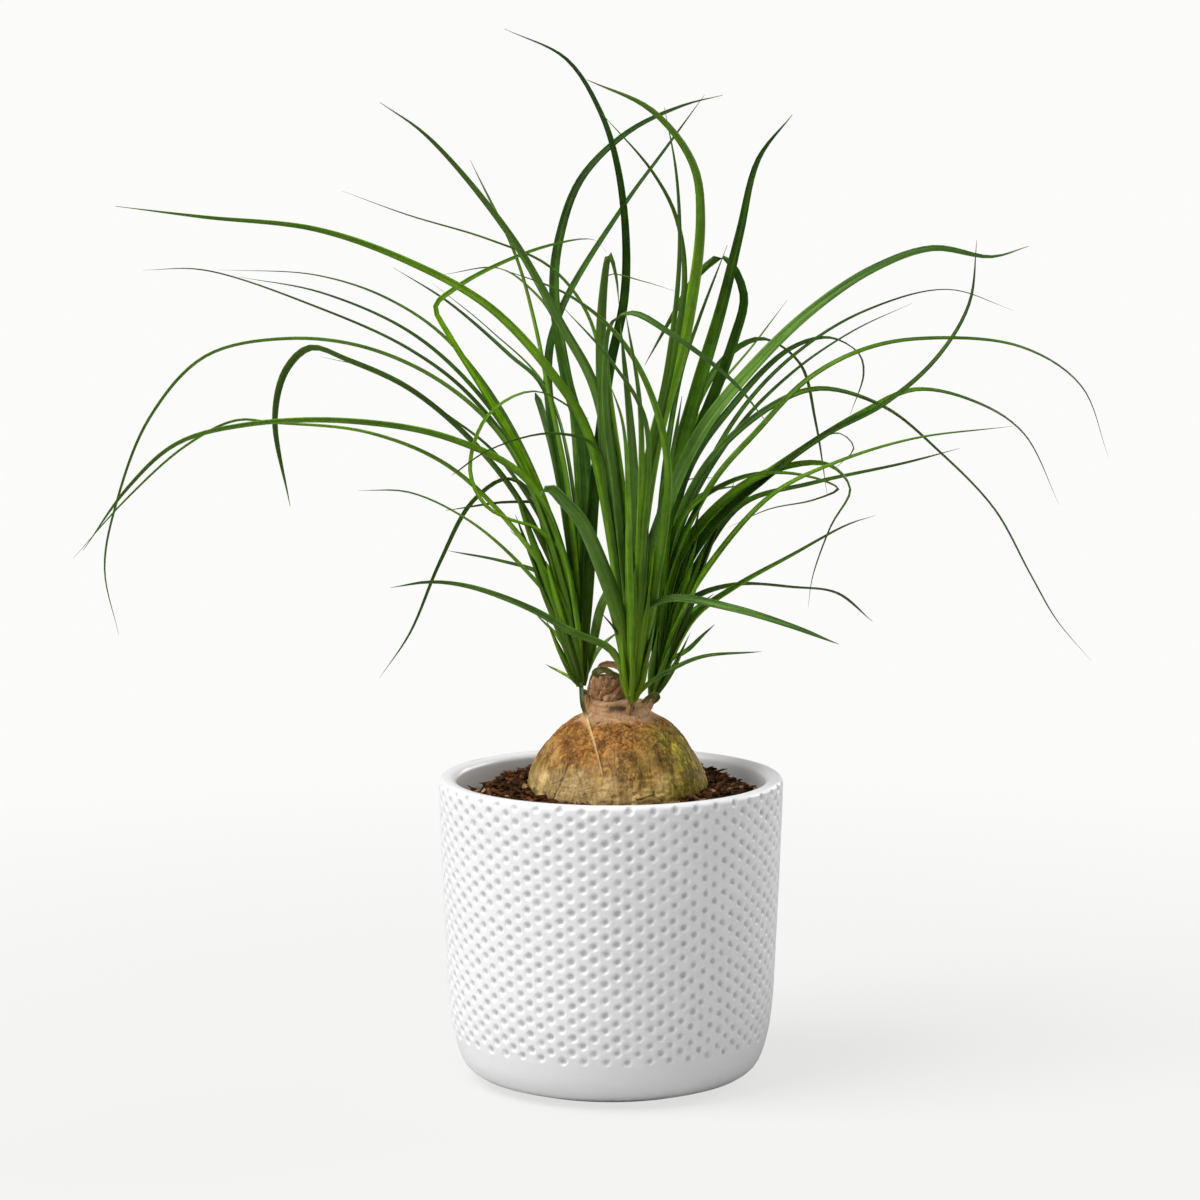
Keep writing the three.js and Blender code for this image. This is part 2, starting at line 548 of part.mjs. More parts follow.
// Points along a smooth curve through the given ones, closer together where those are close.
function smoothLine(points) {
  const curve = new THREE.CatmullRomCurve3(points, false, "centripetal");
  const gaps = points.length - 1;
  const line = [points[0]];
  for (let i = 0; i < gaps; i += 1) {
    const wanted = Math.round(points[i].distanceTo(points[i + 1]) / SEGMENT_LENGTH);
    const steps = THREE.MathUtils.clamp(wanted, 1, MOST_SEGMENTS);
    for (let step = 1; step <= steps; step += 1) line.push(curve.getPoint((i + step / steps) / gaps));
  }
  return line;
}

// The broad direction of a leaf: level and square to its heading, then turned about its midline.
function leafSide(heading, turnDegrees) {
  const level = new THREE.Vector3(heading.y, -heading.x, 0).normalize();
  return (ahead) => {
    const across = level.clone().addScaledVector(ahead, -level.dot(ahead)).normalize();
    return across.applyAxisAngle(ahead, THREE.MathUtils.degToRad(turnDegrees));
  };
}

// A leaf of the table. It is rooted inside its crown, and most of its depth is won in its outer part.
function leafGeometry(frame, core, [widths, turn, depth, ...seen]) {
  const [width, tip = width * (1 - TAPER)] = [widths].flat();
  const foot = new THREE.Vector3().setFromMatrixPosition(frame);
  const before = [[foot.x, foot.z], ...seen];
  const reach = seen.map(([x, z], i) => Math.hypot(x - before[i][0], z - before[i][1]));
  const total = reach.reduce((sum, length) => sum + length);
  let travelled = 0;
  const outer = seen.map((place, i) => {
    travelled += reach[i];
    return onSightLine(place, between([foot.y, depth], (travelled / total) ** DEPTH_POWER));
  });
  const heading = outer.at(-1).clone().sub(foot).setZ(0).normalize();
  const turning = new THREE.Matrix4().extractRotation(frame);
  const root = heading.clone().multiplyScalar(ROOT.share * core).setZ(ROOT.height);
  const line = smoothLine([root.applyMatrix4(turning).add(foot), ...outer]);
  const widthAt = (share) => Math.max(TIP_WIDTH, between([width, tip], share ** TAPER_POWER));
  const thicknessAt = (share) => between([LEAF_THICKNESS, TIP_THICKNESS], share);
  return bladeGeometry(line, leafSide(heading, turn), widthAt, thicknessAt);
}

function heartLeaves(frame, core, seed) {
  const random = makeRandom(seed);
  const foot = new THREE.Vector3().setFromMatrixPosition(frame);
  return Array.from({ length: HEART_LEAVES }, (unused, i) => {
    const angle = (2 * Math.PI * (i + 0.5 * random())) / HEART_LEAVES;
    const length = between(HEART_LEAF_LENGTH, random());
    const out = new THREE.Vector3(Math.cos(angle), Math.sin(angle), 0);
    const at = ([spread, rise]) => {
      const height = Math.max(HEART_LEAF_FOOT, rise * length);
      return out.clone().multiplyScalar(spread * core).setZ(height).applyMatrix4(frame);
    };
    const widthAt = (share) => Math.max(TIP_WIDTH, HEART_LEAF_WIDTH * (1 - share ** 2));
    const heading = out.clone().transformDirection(frame).setZ(0).normalize();
    const line = smoothLine(HEART_LEAF_COURSE.map(at));
    return bladeGeometry(line, leafSide(heading, 0), widthAt, () => LEAF_THICKNESS);
  });
}

// A crown: the packed leaf bases in its heart, the leaves of the table and the young leaves.
function crownGeometry(crown, seed) {
  const frame = crownFrame(crown);
  const { core } = crown;
  const wall = HEART_PROFILE.map(([beyond, z]) => [core + beyond, z]);
  const heart = turned([[0, 0], ...wall, [0, HEART_TOP]], ROUND_SIDES).applyMatrix4(frame);
  const leaves = crown.leaves.map((leaf) => leafGeometry(frame, core, leaf));
  return joined([heart, ...leaves, ...heartLeaves(frame, core, seed)]);
}

// The point just above the caudex's front that the viewpoint sees at [x, z].
function onCaudex(seen) {
  const outline = [...CAUDEX_BULB, ...CAUDEX_NECK].map(([radius, z]) => [z, radius]);
  let place = onSightLine(seen, 0);
  for (let tries = 0; tries < 6; tries += 1) {
    const radius = readOff(outline, place.z) + WITHERED_RISE;
    const off = place.x - CAUDEX_X;
    place = onSightLine(seen, -Math.sqrt(Math.max(radius * radius - off * off, 0)));
  }
  return place;
}

function witheredGeometry() {
  const hanging = WITHERED_HANGING.map((seen, i) => onSightLine(seen, WITHERED_DEPTHS[i]));
  const line = smoothLine([...hanging, ...WITHERED_LYING.map(onCaudex)]);
  const outwards = (point) => point.clone().setX(point.x - CAUDEX_X).setZ(0).normalize();
  const middle = outwards(line[3]);
  const side = (ahead) => ahead.clone().cross(middle).normalize();
  return bladeGeometry(line, side, () => WITHERED_WIDTH, () => WITHERED_THICKNESS);
}

const FINISHES = {
  pot: { color: 0xdcdad6, roughness: 0.35, metalness: 0 },
  soil: { color: 0x3a261b, roughness: 0.95, metalness: 0 },
  caudex: { color: 0x8a6440, roughness: 0.85, metalness: 0 },
  leaf: { color: 0x3f6b1e, roughness: 0.45, metalness: 0 },
  straw: { color: 0xb59a5c, roughness: 0.7, metalness: 0 },
};

const palm = new THREE.Group();
const addPiece = (name, finish, geometry) => {
  const piece = new THREE.Mesh(geometry, new THREE.MeshStandardMaterial(FINISHES[finish]));
  piece.name = name;
  palm.add(piece);
};

addPiece("pot", "pot", potGeometry());
addPiece("soil", "soil", soilGeometry());
addPiece("caudex", "caudex", caudexGeometry());
Object.entries(CROWNS).forEach(([name, crown], i) => addPiece(name, "leaf", crownGeometry(crown, 21 + i)));
addPiece("withered_leaf", "straw", witheredGeometry());

export default palm;
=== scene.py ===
# %% [markdown]
# Potted ponytail palm. Its swollen, cork-barked base sits in dark bark mix in a dimpled white ceramic cover
# pot, and three crowns of long strap leaves arch out above it.
#
# Every piece is made by code as a mesh. The lengths are written in millimetres, as they would be measured on
# the plant, and are turned to metres only when a mesh is made.

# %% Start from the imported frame
import math
import bpy
import numpy as np
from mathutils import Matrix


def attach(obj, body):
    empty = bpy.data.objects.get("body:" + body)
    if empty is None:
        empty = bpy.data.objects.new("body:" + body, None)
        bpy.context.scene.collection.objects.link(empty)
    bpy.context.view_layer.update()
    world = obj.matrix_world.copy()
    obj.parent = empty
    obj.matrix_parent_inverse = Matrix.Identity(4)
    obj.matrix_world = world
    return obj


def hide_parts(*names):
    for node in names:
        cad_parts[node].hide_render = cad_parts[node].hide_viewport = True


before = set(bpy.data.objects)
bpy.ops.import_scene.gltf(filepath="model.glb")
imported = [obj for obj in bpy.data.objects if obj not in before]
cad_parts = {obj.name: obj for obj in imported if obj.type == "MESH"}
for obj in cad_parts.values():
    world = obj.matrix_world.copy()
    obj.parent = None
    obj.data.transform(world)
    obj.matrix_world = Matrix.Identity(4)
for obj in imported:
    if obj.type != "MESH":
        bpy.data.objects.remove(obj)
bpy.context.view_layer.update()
MM = 0.001
print("frame nodes:", sorted(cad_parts))

# %% [markdown]
# The camera stands not quite two metres in front of the pot, a little above its rim, and looks slightly down,
# with a long lens. That keeps the pot's walls almost upright and shows a thin ellipse of the soil. The same
# viewpoint places the leaves later, because their courses are written down as they look from there.

# %% The camera
VIEWPOINT = np.array([-5.5, -1860.0, 486.0])
CAMERA_PITCH_DOWN = 7.495

camera_data = bpy.data.cameras.new("camera")
camera_data.lens = 113.24
camera_data.sensor_width = 36
camera_data.clip_end = 100
camera = bpy.data.objects.new("camera", camera_data)
camera.location = VIEWPOINT * MM
camera.rotation_euler = (math.radians(90 - CAMERA_PITCH_DOWN), 0, 0)
bpy.context.scene.collection.objects.link(camera)
bpy.context.scene.camera = camera
print("camera at", list(camera.location))

# %% [markdown]
# All pieces are made the same way: a list of points in millimetres, a list of faces, and values that each
# point carries for its finish to read. One helper turns them into a mesh object. Most pieces are sheets of
# points stored row by row, and many are turned round an upright axis.

# %% From points and faces to an object
def make_object(name, points, faces, finish, values=None, smooth=True, normals=None):
    """A mesh object from points in mm. values maps a name to a number or a vector for each point."""
    mesh = bpy.data.meshes.new(name)
    mesh.from_pydata((np.asarray(points) * MM).tolist(), [], faces)
    for label, numbers in (values or {}).items():
        numbers = np.asarray(numbers, dtype=np.float32)
        kind, field = ("FLOAT", "value") if numbers.ndim == 1 else ("FLOAT_VECTOR", "vector")
        mesh.attributes.new(label, kind, "POINT").data.foreach_set(field, numbers.ravel())
    mesh.polygons.foreach_set("use_smooth", [smooth] * len(mesh.polygons))
    mesh.materials.append(finish.material)
    mesh.update()
    if normals is not None:
        mesh.normals_split_custom_set_from_vertices(normals.tolist())
    made = bpy.data.objects.new(name, mesh)
    bpy.context.scene.collection.objects.link(made)
    triangles = sum(len(face.vertices) - 2 for face in mesh.polygons)
    print(f"{name}: {len(mesh.vertices)} points, {triangles} triangles")
    return made


def make_piece(node, slot_name, name, *parts, **extras):
    """A mesh object that rides with the body root and stands for a node of the frame if one is given."""
    piece = make_object(name, *parts, **extras)
    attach(piece, "root")
    if node:
        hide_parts(node)


def ring_faces(rows, columns, closed=True):
    """Faces of a sheet of points stored row by row. A closed one joins its last column to its first."""
    across = np.arange(columns if closed else columns - 1)
    following = (across + 1) % columns
    start = np.arange(rows - 1)[:, None] * columns
    corners = [start + across, start + following, start + columns + following, start + columns + across]
    return np.stack(corners, axis=-1).reshape(-1, 4).tolist()


def round_axis(radius, angle, height):
    """Points round the upright axis through the origin."""
    return np.stack(np.broadcast_arrays(radius * np.cos(angle), radius * np.sin(angle), height), axis=-1)


def full_turn(columns):
    """The angles of that many columns all the way round, in radians."""
    return 2 * math.pi * np.arange(columns) / columns


def blend_in(low, high, value):
    """0 below low, 1 above high, and a soft step between."""
    share = np.clip((np.asarray(value, dtype=float) - low) / (high - low), 0, 1)
    return share * share * (3 - 2 * share)


def bell(value, middle, width):
    """1 at the middle, and softly less to both sides of it."""
    return np.exp(-((value - middle) / width) ** 2)


# %% [markdown]
# Bark, soil and dimples all need unevenness that comes out the same each time. A small table of random
# numbers, read with soft steps between its cells, gives smooth noise over a plane. Two or three such layers,
# each finer and weaker than the one before, look natural.

# %% Smooth noise over a plane
NOISE_CELLS = 64


def smooth_noise(x, y, seed, wrap=None):
    """Values from -1 to 1 that change softly over the plane. wrap repeats the pattern along x."""
    table = np.random.default_rng(seed).uniform(-1, 1, (NOISE_CELLS, NOISE_CELLS))
    left, low = np.floor(x).astype(int), np.floor(y).astype(int)
    part_x, part_y = blend_in(0, 1, x - left), blend_in(0, 1, y - low)
    right = left + 1
    if wrap:
        left, right = left % wrap, right % wrap
    left, right, low, high = (cell % NOISE_CELLS for cell in (left, right, low, low + 1))
    below = table[left, low] * (1 - part_x) + table[right, low] * part_x
    above = table[left, high] * (1 - part_x) + table[right, high] * part_x
    return below * (1 - part_y) + above * part_y


# %% [markdown]
# Several finishes here are blotched: the glaze a little, the bark and the leaves much more. One node group
# does it for all of them. It mixes two colours by a coarse and a fine noise, and each material gives it its
# own colours, sizes and balance. A second group gives the fine height that a Bump node needs.

# %% Helpers for node trees
class Tree:
    """A node tree with short ways to add nodes. They take sockets or plain values and give back a socket."""

    def __init__(self, tree):
        self.nodes, self.links = tree.nodes, tree.links

    def wire(self, source, target):
        """Feeds a socket, a plain number or vector, or a colour of three numbers into a socket."""
        if isinstance(source, bpy.types.NodeSocket):
            self.links.new(source, target)
        else:
            target.default_value = (*source, 1) if target.type == "RGBA" else source

    def add(self, kind, inputs, output=0, **settings):
        """One node. inputs maps the names or numbers of its inputs to what they get."""
        node = self.nodes.new("ShaderNode" + kind)
        for label, value in settings.items():
            setattr(node, label, value)
        for label, source in inputs.items():
            self.wire(source, node.inputs[label])
        return node.outputs[output]

    def noise(self, place, scale, detail=3.0, roughness=0.55):
        """A noise texture's value."""
        settings = {"Vector": place, "Scale": scale, "Detail": detail, "Roughness": roughness}
        return self.add("TexNoise", settings, "Fac")

    def math(self, operation, first, second=0.0):
        """A sum, product or other simple step."""
        return self.add("Math", {0: first, 1: second}, operation=operation)

    def range(self, value, low, high, out_low=0.0, out_high=1.0):
        """Maps a value from one range to another with soft ends."""
        settings = {"Value": value, "From Min": low, "From Max": high, "To Min": out_low, "To Max": out_high}
        return self.add("MapRange", settings, "Result", interpolation_type="SMOOTHSTEP")

    def mix(self, share, first, second):
        """A mix of two colours."""
        return self.add("Mix", {0: share, 6: first, 7: second}, 2, data_type="RGBA")

    def layers(self, colour, *upper):
        """A colour with others laid over it, one after the other. Each has a share."""
        for share, over in upper:
            colour = self.mix(share, colour, over)
        return colour

    def stretch(self, place, scale):
        """The place, stretched along each axis, so that a noise read there is drawn out."""
        return self.add("Mapping", {"Vector": place, "Scale": scale})

    def carried(self, label, output="Fac"):
        """A number that each point of the mesh carries."""
        return self.add("Attribute", {}, output, attribute_name=label)

    def carried_parts(self, label):
        """The three parts of a vector that each point of the mesh carries."""
        return self.add("SeparateXYZ", {"Vector": self.carried(label, "Vector")}).node.outputs


# %% The two shared node groups
def new_group(name, inputs, outputs):
    """An empty shader node group, with the sockets that stand for its inputs and outputs inside it."""
    group = bpy.data.node_groups.new(name, "ShaderNodeTree")
    for label, kind, value in inputs:
        socket = group.interface.new_socket(label, in_out="INPUT", socket_type="NodeSocket" + kind)
        socket.default_value = value
    for label, kind in outputs:
        group.interface.new_socket(label, in_out="OUTPUT", socket_type="NodeSocket" + kind)
    given, result = group.nodes.new("NodeGroupInput").outputs, group.nodes.new("NodeGroupOutput").inputs
    return group, Tree(group), given, result


mottle_group, tree, given, result = new_group(
    "mottle",
    [("Place", "Vector", (0, 0, 0)), ("Light Colour", "Color", (1, 1, 1, 1)),
     ("Dark Colour", "Color", (0, 0, 0, 1)), ("Coarse Scale", "Float", 20.0), ("Fine Scale", "Float", 200.0),
     ("Balance", "Float", 0.5), ("Contrast", "Float", 0.5)],
    [("Colour", "Color"), ("Mask", "Float")])
coarse = tree.noise(given["Place"], given["Coarse Scale"])
fine = tree.noise(given["Place"], given["Fine Scale"], 5.0)
blotches = tree.math("ADD", tree.math("MULTIPLY", coarse, 0.62), tree.math("MULTIPLY", fine, 0.38))
half_width = tree.math("SUBTRACT", 0.3, tree.math("MULTIPLY", given["Contrast"], 0.25))
mask = tree.range(blotches, tree.math("SUBTRACT", given["Balance"], half_width),
                  tree.math("ADD", given["Balance"], half_width))
tree.wire(tree.mix(mask, given["Light Colour"], given["Dark Colour"]), result["Colour"])
tree.wire(mask, result["Mask"])

grain_group, tree, given, result = new_group(
    "fine_grain", [("Place", "Vector", (0, 0, 0)), ("Scale", "Float", 300.0), ("Crack Share", "Float", 0.5)],
    [("Height", "Float")])
bumps = tree.noise(given["Place"], given["Scale"], 6.0, 0.6)
cell_edge = tree.add("TexVoronoi", {"Vector": given["Place"], "Scale": given["Scale"]}, "Distance",
                     feature="DISTANCE_TO_EDGE")
cracks = tree.math("MULTIPLY", tree.range(cell_edge, 0.0, 0.12), given["Crack Share"])
tree.wire(tree.math("ADD", bumps, cracks), result["Height"])
print("node groups:", mottle_group.name, "and", grain_group.name)


# %% Helpers for materials
class Finish(Tree):
    """A material with one Principled shader, its plain values set on the shader's own sockets."""

    def __init__(self, name, roughness, specular=0.5, coat=0.0, subsurface=0.0):
        self.material = bpy.data.materials.new(name)
        self.material.use_nodes = True
        super().__init__(self.material.node_tree)
        self.shader = self.nodes["Principled BSDF"]
        self.place = self.add("TexCoord", {}, "Object")
        settings = {"Roughness": roughness, "Specular IOR Level": specular, "Coat Weight": coat,
                    "Coat Roughness": 0.12, "Subsurface Weight": subsurface,
                    "Subsurface Radius": (0.4, 1.0, 0.15), "Subsurface Scale": 0.002}
        for label, value in settings.items():
            self.feed(label, value)

    def feed(self, label, source):
        """Feeds a socket or a plain value into the shader."""
        self.wire(source, self.shader.inputs[label])

    def mottle(self, light, dark, coarse_scale, fine_scale, balance=0.5, contrast=0.5, place=None):
        """The colour of the mottle group with this material's own values."""
        values = (place or self.place, light, dark, coarse_scale, fine_scale, balance, contrast)
        return self.add("Group", dict(enumerate(values)), "Colour", node_tree=mottle_group)

    def bump(self, height, strength, distance):
        """A height as a bump on the shader."""
        self.feed("Normal", self.add("Bump", {"Height": height, "Strength": strength, "Distance": distance}))

    def grain(self, scale, crack_share, strength, distance, place=None):
        """The height of the grain group as a bump on the shader."""
        height = self.add("Group", {0: place or self.place, 1: scale, 2: crack_share}, node_tree=grain_group)
        self.bump(height, strength, distance)


# %% [markdown]
# The main light comes from the upper left through a very large soft source, so the pot is bright on its left,
# grey on its right, and throws hardly any shadow. A sun lamp with a wide angle does this, and it also lights
# the floor evenly as far as the picture reaches, which an area lamp can't. A weaker, narrower one from behind
# on the right picks out the edges of the dimples there, and a white room fills the rest. Two small lamps that
# show only as reflections put glints in the glaze. The plain sRGB view keeps the whites white.

# %% The studio
ROOM_LIGHT = 0.37
BACKDROP_LIGHT = 0.97


def add_lamp(name, kind, energy):
    """A lamp of one kind, linked to the scene."""
    light = bpy.data.lights.new(name, kind)
    light.energy = energy
    lamp = bpy.data.objects.new(name, light)
    bpy.context.scene.collection.objects.link(lamp)
    return lamp


def add_sun(name, azimuth, elevation, softness, strength):
    """A soft distant lamp. Azimuth 0 shines from the viewer's side, 90 from the right. Angles in degrees."""
    lamp = add_lamp(name, "SUN", strength)
    lamp.data.angle = math.radians(softness)
    lamp.rotation_euler = (math.radians(90 - elevation), 0, math.radians(azimuth))


def add_glint(name, place, size, energy):
    """A small lamp that only shows as a reflection. It points at the pot."""
    lamp = add_lamp(name, "AREA", energy)
    lamp.data.size = size
    lamp.location = place
    lamp.rotation_euler = (-lamp.location).to_track_quat("-Z", "Y").to_euler()
    lamp.visible_diffuse = False


world = bpy.data.worlds.new("white_room")
world.use_nodes = True
room = Tree(world.node_tree)
seen = room.add("LightPath", {}, "Is Camera Ray")
strength = room.add("MapRange", {"Value": seen, "To Min": ROOM_LIGHT, "To Max": BACKDROP_LIGHT}, "Result")
room.wire((1.0, 0.998, 0.99), room.nodes["Background"].inputs["Color"])
room.wire(strength, room.nodes["Background"].inputs["Strength"])
bpy.context.scene.world = world
bpy.context.scene.view_settings.view_transform = "Standard"
add_sun("key_sun", -65, 54, 44, 3.55)
add_sun("fill_sun", 122, 25, 24, 0.85)
add_glint("glint_lamp", (-1.2, -1.5, 1.5), 0.35, 7)
add_glint("edge_lamp", (1.0, 1.5, 0.6), 0.5, 4)

# %% [markdown]
# The floor is a plain pale sheet, large enough to fill the picture to its top edge. A product photograph is
# exposed until the floor is nearly white and only a faint shadow is left. So the camera sees the floor with a
# soft glow and a weak shadow, while the floor throws the light of plain pale paper back up at the pot.

# %% The floor
FLOOR_HALF = 20000
FLOOR_GLOW = [0.697, 0.764]
GLOW_REACH = [0.15, 1.1]
pale_floor = Finish("pale_floor", 0.9, specular=0.0)
off_pot = pale_floor.add("VectorMath", {0: pale_floor.place}, "Value", operation="LENGTH")
glow = pale_floor.range(off_pot, *GLOW_REACH, *FLOOR_GLOW)
seen = pale_floor.add("LightPath", {}, "Is Camera Ray")
pale_floor.feed("Base Color", pale_floor.mix(seen, (0.5, 0.498, 0.49), (0.15, 0.149, 0.147)))
pale_floor.feed("Emission Color", (1.0, 0.997, 0.988))
pale_floor.feed("Emission Strength", pale_floor.math("MULTIPLY", glow, seen))
floor = make_object("floor", FLOOR_HALF * np.array([[-1, -1, 0], [1, -1, 0], [1, 1, 0], [-1, 1, 0]]),
                    [(0, 1, 2, 3)], pale_floor, smooth=False)

# %% [markdown]
# The pot is glazed stoneware: off-white, satin rather than glassy, with a very slightly uneven surface. Its
# walls carry about fifteen hundred small round dimples, each a shallow bowl with a clear edge, and their
# hollows are painted greyer, a painted shade. They wander a little in place, size and depth, as if pressed in
# by hand. A bump would look right from the front and flat at the outline. So the wall is a fine sheet of
# points, each dimple is a real hollow in it, and the sheet's normals are worked out from that hollow. The
# sheet is cut into a front and a back half to keep each piece light.

# %% The pot's glaze
glaze = Finish("white_glaze", 0.3, coat=0.3)
blotch = glaze.mottle((0.855, 0.855, 0.87), (0.81, 0.812, 0.83), 14.0, 160.0, 0.5, 0.2)
# The dimples' hollows are painted darker grey, a painted shade.
dimple_shade = glaze.range(glaze.carried("hollow"), 0.3, 1.0, 0.0, 0.6)
glaze.feed("Base Color", glaze.mix(dimple_shade, blotch, (0.44, 0.44, 0.452)))
glaze.feed("Roughness", glaze.range(blotch.node.outputs["Mask"], 0.0, 1.0, 0.28, 0.4))
glaze.grain(420.0, 0.0, 0.1, 0.0004)

# %% The pot's outline
# Each point is [radius, height]. The dimples are pressed into the band.
POT_BELOW_BAND = [[0, 1.2], [46, 1.0], [52, 0.4], [55.2, 0], [56.6, 0.3], [57.2, 1.1], [58, 1.9], [61.6, 2.2],
                  [65, 2.9], [68.4, 4.1], [71.2, 5.9], [73.4, 8], [75, 10.5], [76.4, 13.6], [77.6, 17.4],
                  [78.5, 21.2]]
POT_BAND = [[79, 23], [79.8, 27], [80.4, 31], [81.3, 39], [82, 48], [82.5, 60], [83.4, 80], [84.3, 100],
            [85.2, 124], [85.8, 140], [86, 149], [85.8, 150.8], [85.3, 151.8], [84.6, 152.3]]
RIM_MIDDLE = 81.6
RIM_HALF_WIDTH = 4.4
RIM_CREST = 152.8
RIM_INNER_DROP = 3.4
POT_INSIDE = [[76.7, 146], [76.5, 138], [75.4, 110], [73.9, 60], [72.4, 22], [69.5, 12], [62, 8.6], [30, 8.2],
              [0, 8.2]]


def rim_outline():
    """The rolled rim, from the top of the wall over the crest to the inside."""
    outer_radius, outer_height = POT_BAND[-1]
    quarter = np.linspace(0, math.pi / 2, 7)[1:]
    outer = [[RIM_MIDDLE + (outer_radius - RIM_MIDDLE) * math.cos(a),
              RIM_CREST - (RIM_CREST - outer_height) * (1 - math.sin(a))] for a in quarter]
    inner = [[RIM_MIDDLE - RIM_HALF_WIDTH * math.sin(a), RIM_CREST - RIM_INNER_DROP * (1 - math.cos(a))]
             for a in quarter]
    return outer + inner


# %% The dimples
DIMPLE_COLUMNS = 47
DIMPLE_ROWS = 33
DIMPLE_HEIGHTS = [26.2, 150.1]
DIMPLE_RADIUS = 2.35
DIMPLE_DEPTH = 1.15
DIMPLE_EDGE = 0.14
DIMPLE_WANDER = 0.3
SIZE_SPREAD = 0.05
PRESS_SPREAD = 0.08
POINTS_PER_DIMPLE = 14
POINTS_PER_ROW = 8


def press_dimple(depth, middle, turns, heights, wall_radius, size, press):
    """Presses one dimple into the sheet. turns and heights say where the sheet's points are."""
    rows = np.nonzero(np.abs(heights - middle) < size * (1 + DIMPLE_EDGE))[0]
    columns = np.nonzero(np.abs(turns) * wall_radius < size * (1 + DIMPLE_EDGE))[0]
    distance = np.hypot(heights[rows][:, None] - middle, turns[columns][None, :] * wall_radius) / size
    # A bowl, with its edge rounded off over a short way.
    bowl = 1 - distance**2
    bowl = press * (bowl + np.sqrt(bowl**2 + DIMPLE_EDGE**2) - DIMPLE_EDGE * distance**2) / 2
    cell = np.ix_(rows, columns)
    depth[cell] = np.maximum(depth[cell], bowl)


def dimple_field(angles, heights, radii):
    """How deep the wall is pressed in at each point of the sheet."""
    random = np.random.default_rng(7)
    depth = np.zeros((len(heights), len(angles)))
    pitch = (DIMPLE_HEIGHTS[1] - DIMPLE_HEIGHTS[0]) / (DIMPLE_ROWS - 1)
    for row in range(DIMPLE_ROWS):
        for column in range(DIMPLE_COLUMNS):
            aside, above = DIMPLE_WANDER * random.standard_normal(2)
            size = DIMPLE_RADIUS * (1 + SIZE_SPREAD * random.standard_normal())
            press = DIMPLE_DEPTH * (1 + PRESS_SPREAD * random.standard_normal())
            middle = DIMPLE_HEIGHTS[0] + pitch * row + above
            wall_radius = np.interp(middle, heights, radii)
            middle_angle = 2 * math.pi * (column + 0.5 * (row % 2)) / DIMPLE_COLUMNS + aside / wall_radius
            turns = (angles - middle_angle + math.pi) % (2 * math.pi) - math.pi
            press_dimple(depth, middle, turns, heights, wall_radius, size, press)
    return depth


# %% The pot
pot_columns = DIMPLE_COLUMNS * POINTS_PER_DIMPLE
pot_angles = full_turn(pot_columns)
wall_radii, wall_heights = np.transpose(POT_BAND)
band_rows = DIMPLE_ROWS * POINTS_PER_ROW
band_heights = np.linspace(wall_heights[0], wall_heights[-1], band_rows)
band_radii = np.interp(band_heights, wall_heights, wall_radii)
band = np.stack([band_radii, band_heights], axis=-1)
pot_profile = np.concatenate([POT_BELOW_BAND, band, rim_outline(), POT_INSIDE])
pressed = np.zeros((len(pot_profile), pot_columns))
first_row = len(POT_BELOW_BAND)
pressed[first_row:first_row + band_rows] = dimple_field(pot_angles, band_heights, band_radii)
pot_sheet = round_axis(pot_profile[:, :1] - pressed, pot_angles, pot_profile[:, 1:])
around = np.roll(pot_sheet, -1, axis=1) - np.roll(pot_sheet, 1, axis=1)
pot_normals = np.cross(around, np.gradient(pot_sheet, axis=0))
pot_normals[0], pot_normals[-1] = (0, 0, -1), (0, 0, 1)
pot_normals /= np.linalg.norm(pot_normals, axis=2)[:, :, None]
half = pot_columns // 2
for name, first in (("pot_back", 0), ("pot_front", half)):
    columns = np.arange(first, first + half + 1) % pot_columns
    make_piece("pot", "ceramic", name, pot_sheet[:, columns].reshape(-1, 3),
               ring_faces(len(pot_profile), half + 1, closed=False), glaze,
               {"hollow": pressed[:, columns].ravel() / DIMPLE_DEPTH},
               normals=pot_normals[:, columns].reshape(-1, 3))
print("dimples:", DIMPLE_COLUMNS * DIMPLE_ROWS)

# %% [markdown]
# The potting mix is bark, not earth: dark chips and shreds of all sizes, dry and matt, some of them pale. A
# dark, rough mound closes the gaps, and fifteen hundred separate shreds lie on it at all angles, so that its
# outline against the pot's white wall is ragged, as it is on a real pot.

# %% The potting mix's finish
mix_bark = Finish("potting_mix", 0.85, specular=0.1)
tone = mix_bark.carried("tone")
blotch = mix_bark.mottle((0.085, 0.032, 0.009), (0.013, 0.005, 0.0015), 90.0, 500.0, 0.5, 0.4)
reddish = mix_bark.mottle((0.25, 0.095, 0.03), (0.07, 0.025, 0.008), 300.0, 900.0)
dusty = mix_bark.mottle((0.52, 0.36, 0.20), (0.22, 0.13, 0.065), 400.0, 900.0)
mix_bark.feed("Base Color", mix_bark.layers(blotch, (mix_bark.range(tone, 0.5, 0.95), reddish),
                                            (mix_bark.range(tone, 0.92, 0.97), dusty)))
mix_bark.grain(600.0, 0.6, 0.6, 0.0012)

# %% The mound of mix
CAUDEX_X = 3.3
SOIL_EDGE = 76.1
SOIL_MOUTH = 45.6
SOIL_WALL_HEIGHT = 140.6
SOIL_HEAP_HEIGHT = 149.2
HEAP_LEAN = 5.0
HEAP_DIP = 2.0
HEAP_CURVE = 1.4
SOIL_UNDER = [[SOIL_EDGE, 139], [74.3, 80], [72.1, 22], [69.3, 13], [61, 9.1], [0, 9.1]]
SOIL_COLUMNS = 260
SOIL_RINGS = 56


def heap_height(share, angle):
    """The mound's height, from the caudex (share 0) out to the wall (share 1). It is higher at the back, and
    it dips towards the left wall."""
    lean = HEAP_LEAN * (1 - share) * np.sin(angle) - HEAP_DIP * share * np.maximum(0, -np.cos(angle))
    return SOIL_HEAP_HEIGHT + share ** HEAP_CURVE * (SOIL_WALL_HEIGHT - SOIL_HEAP_HEIGHT) + lean


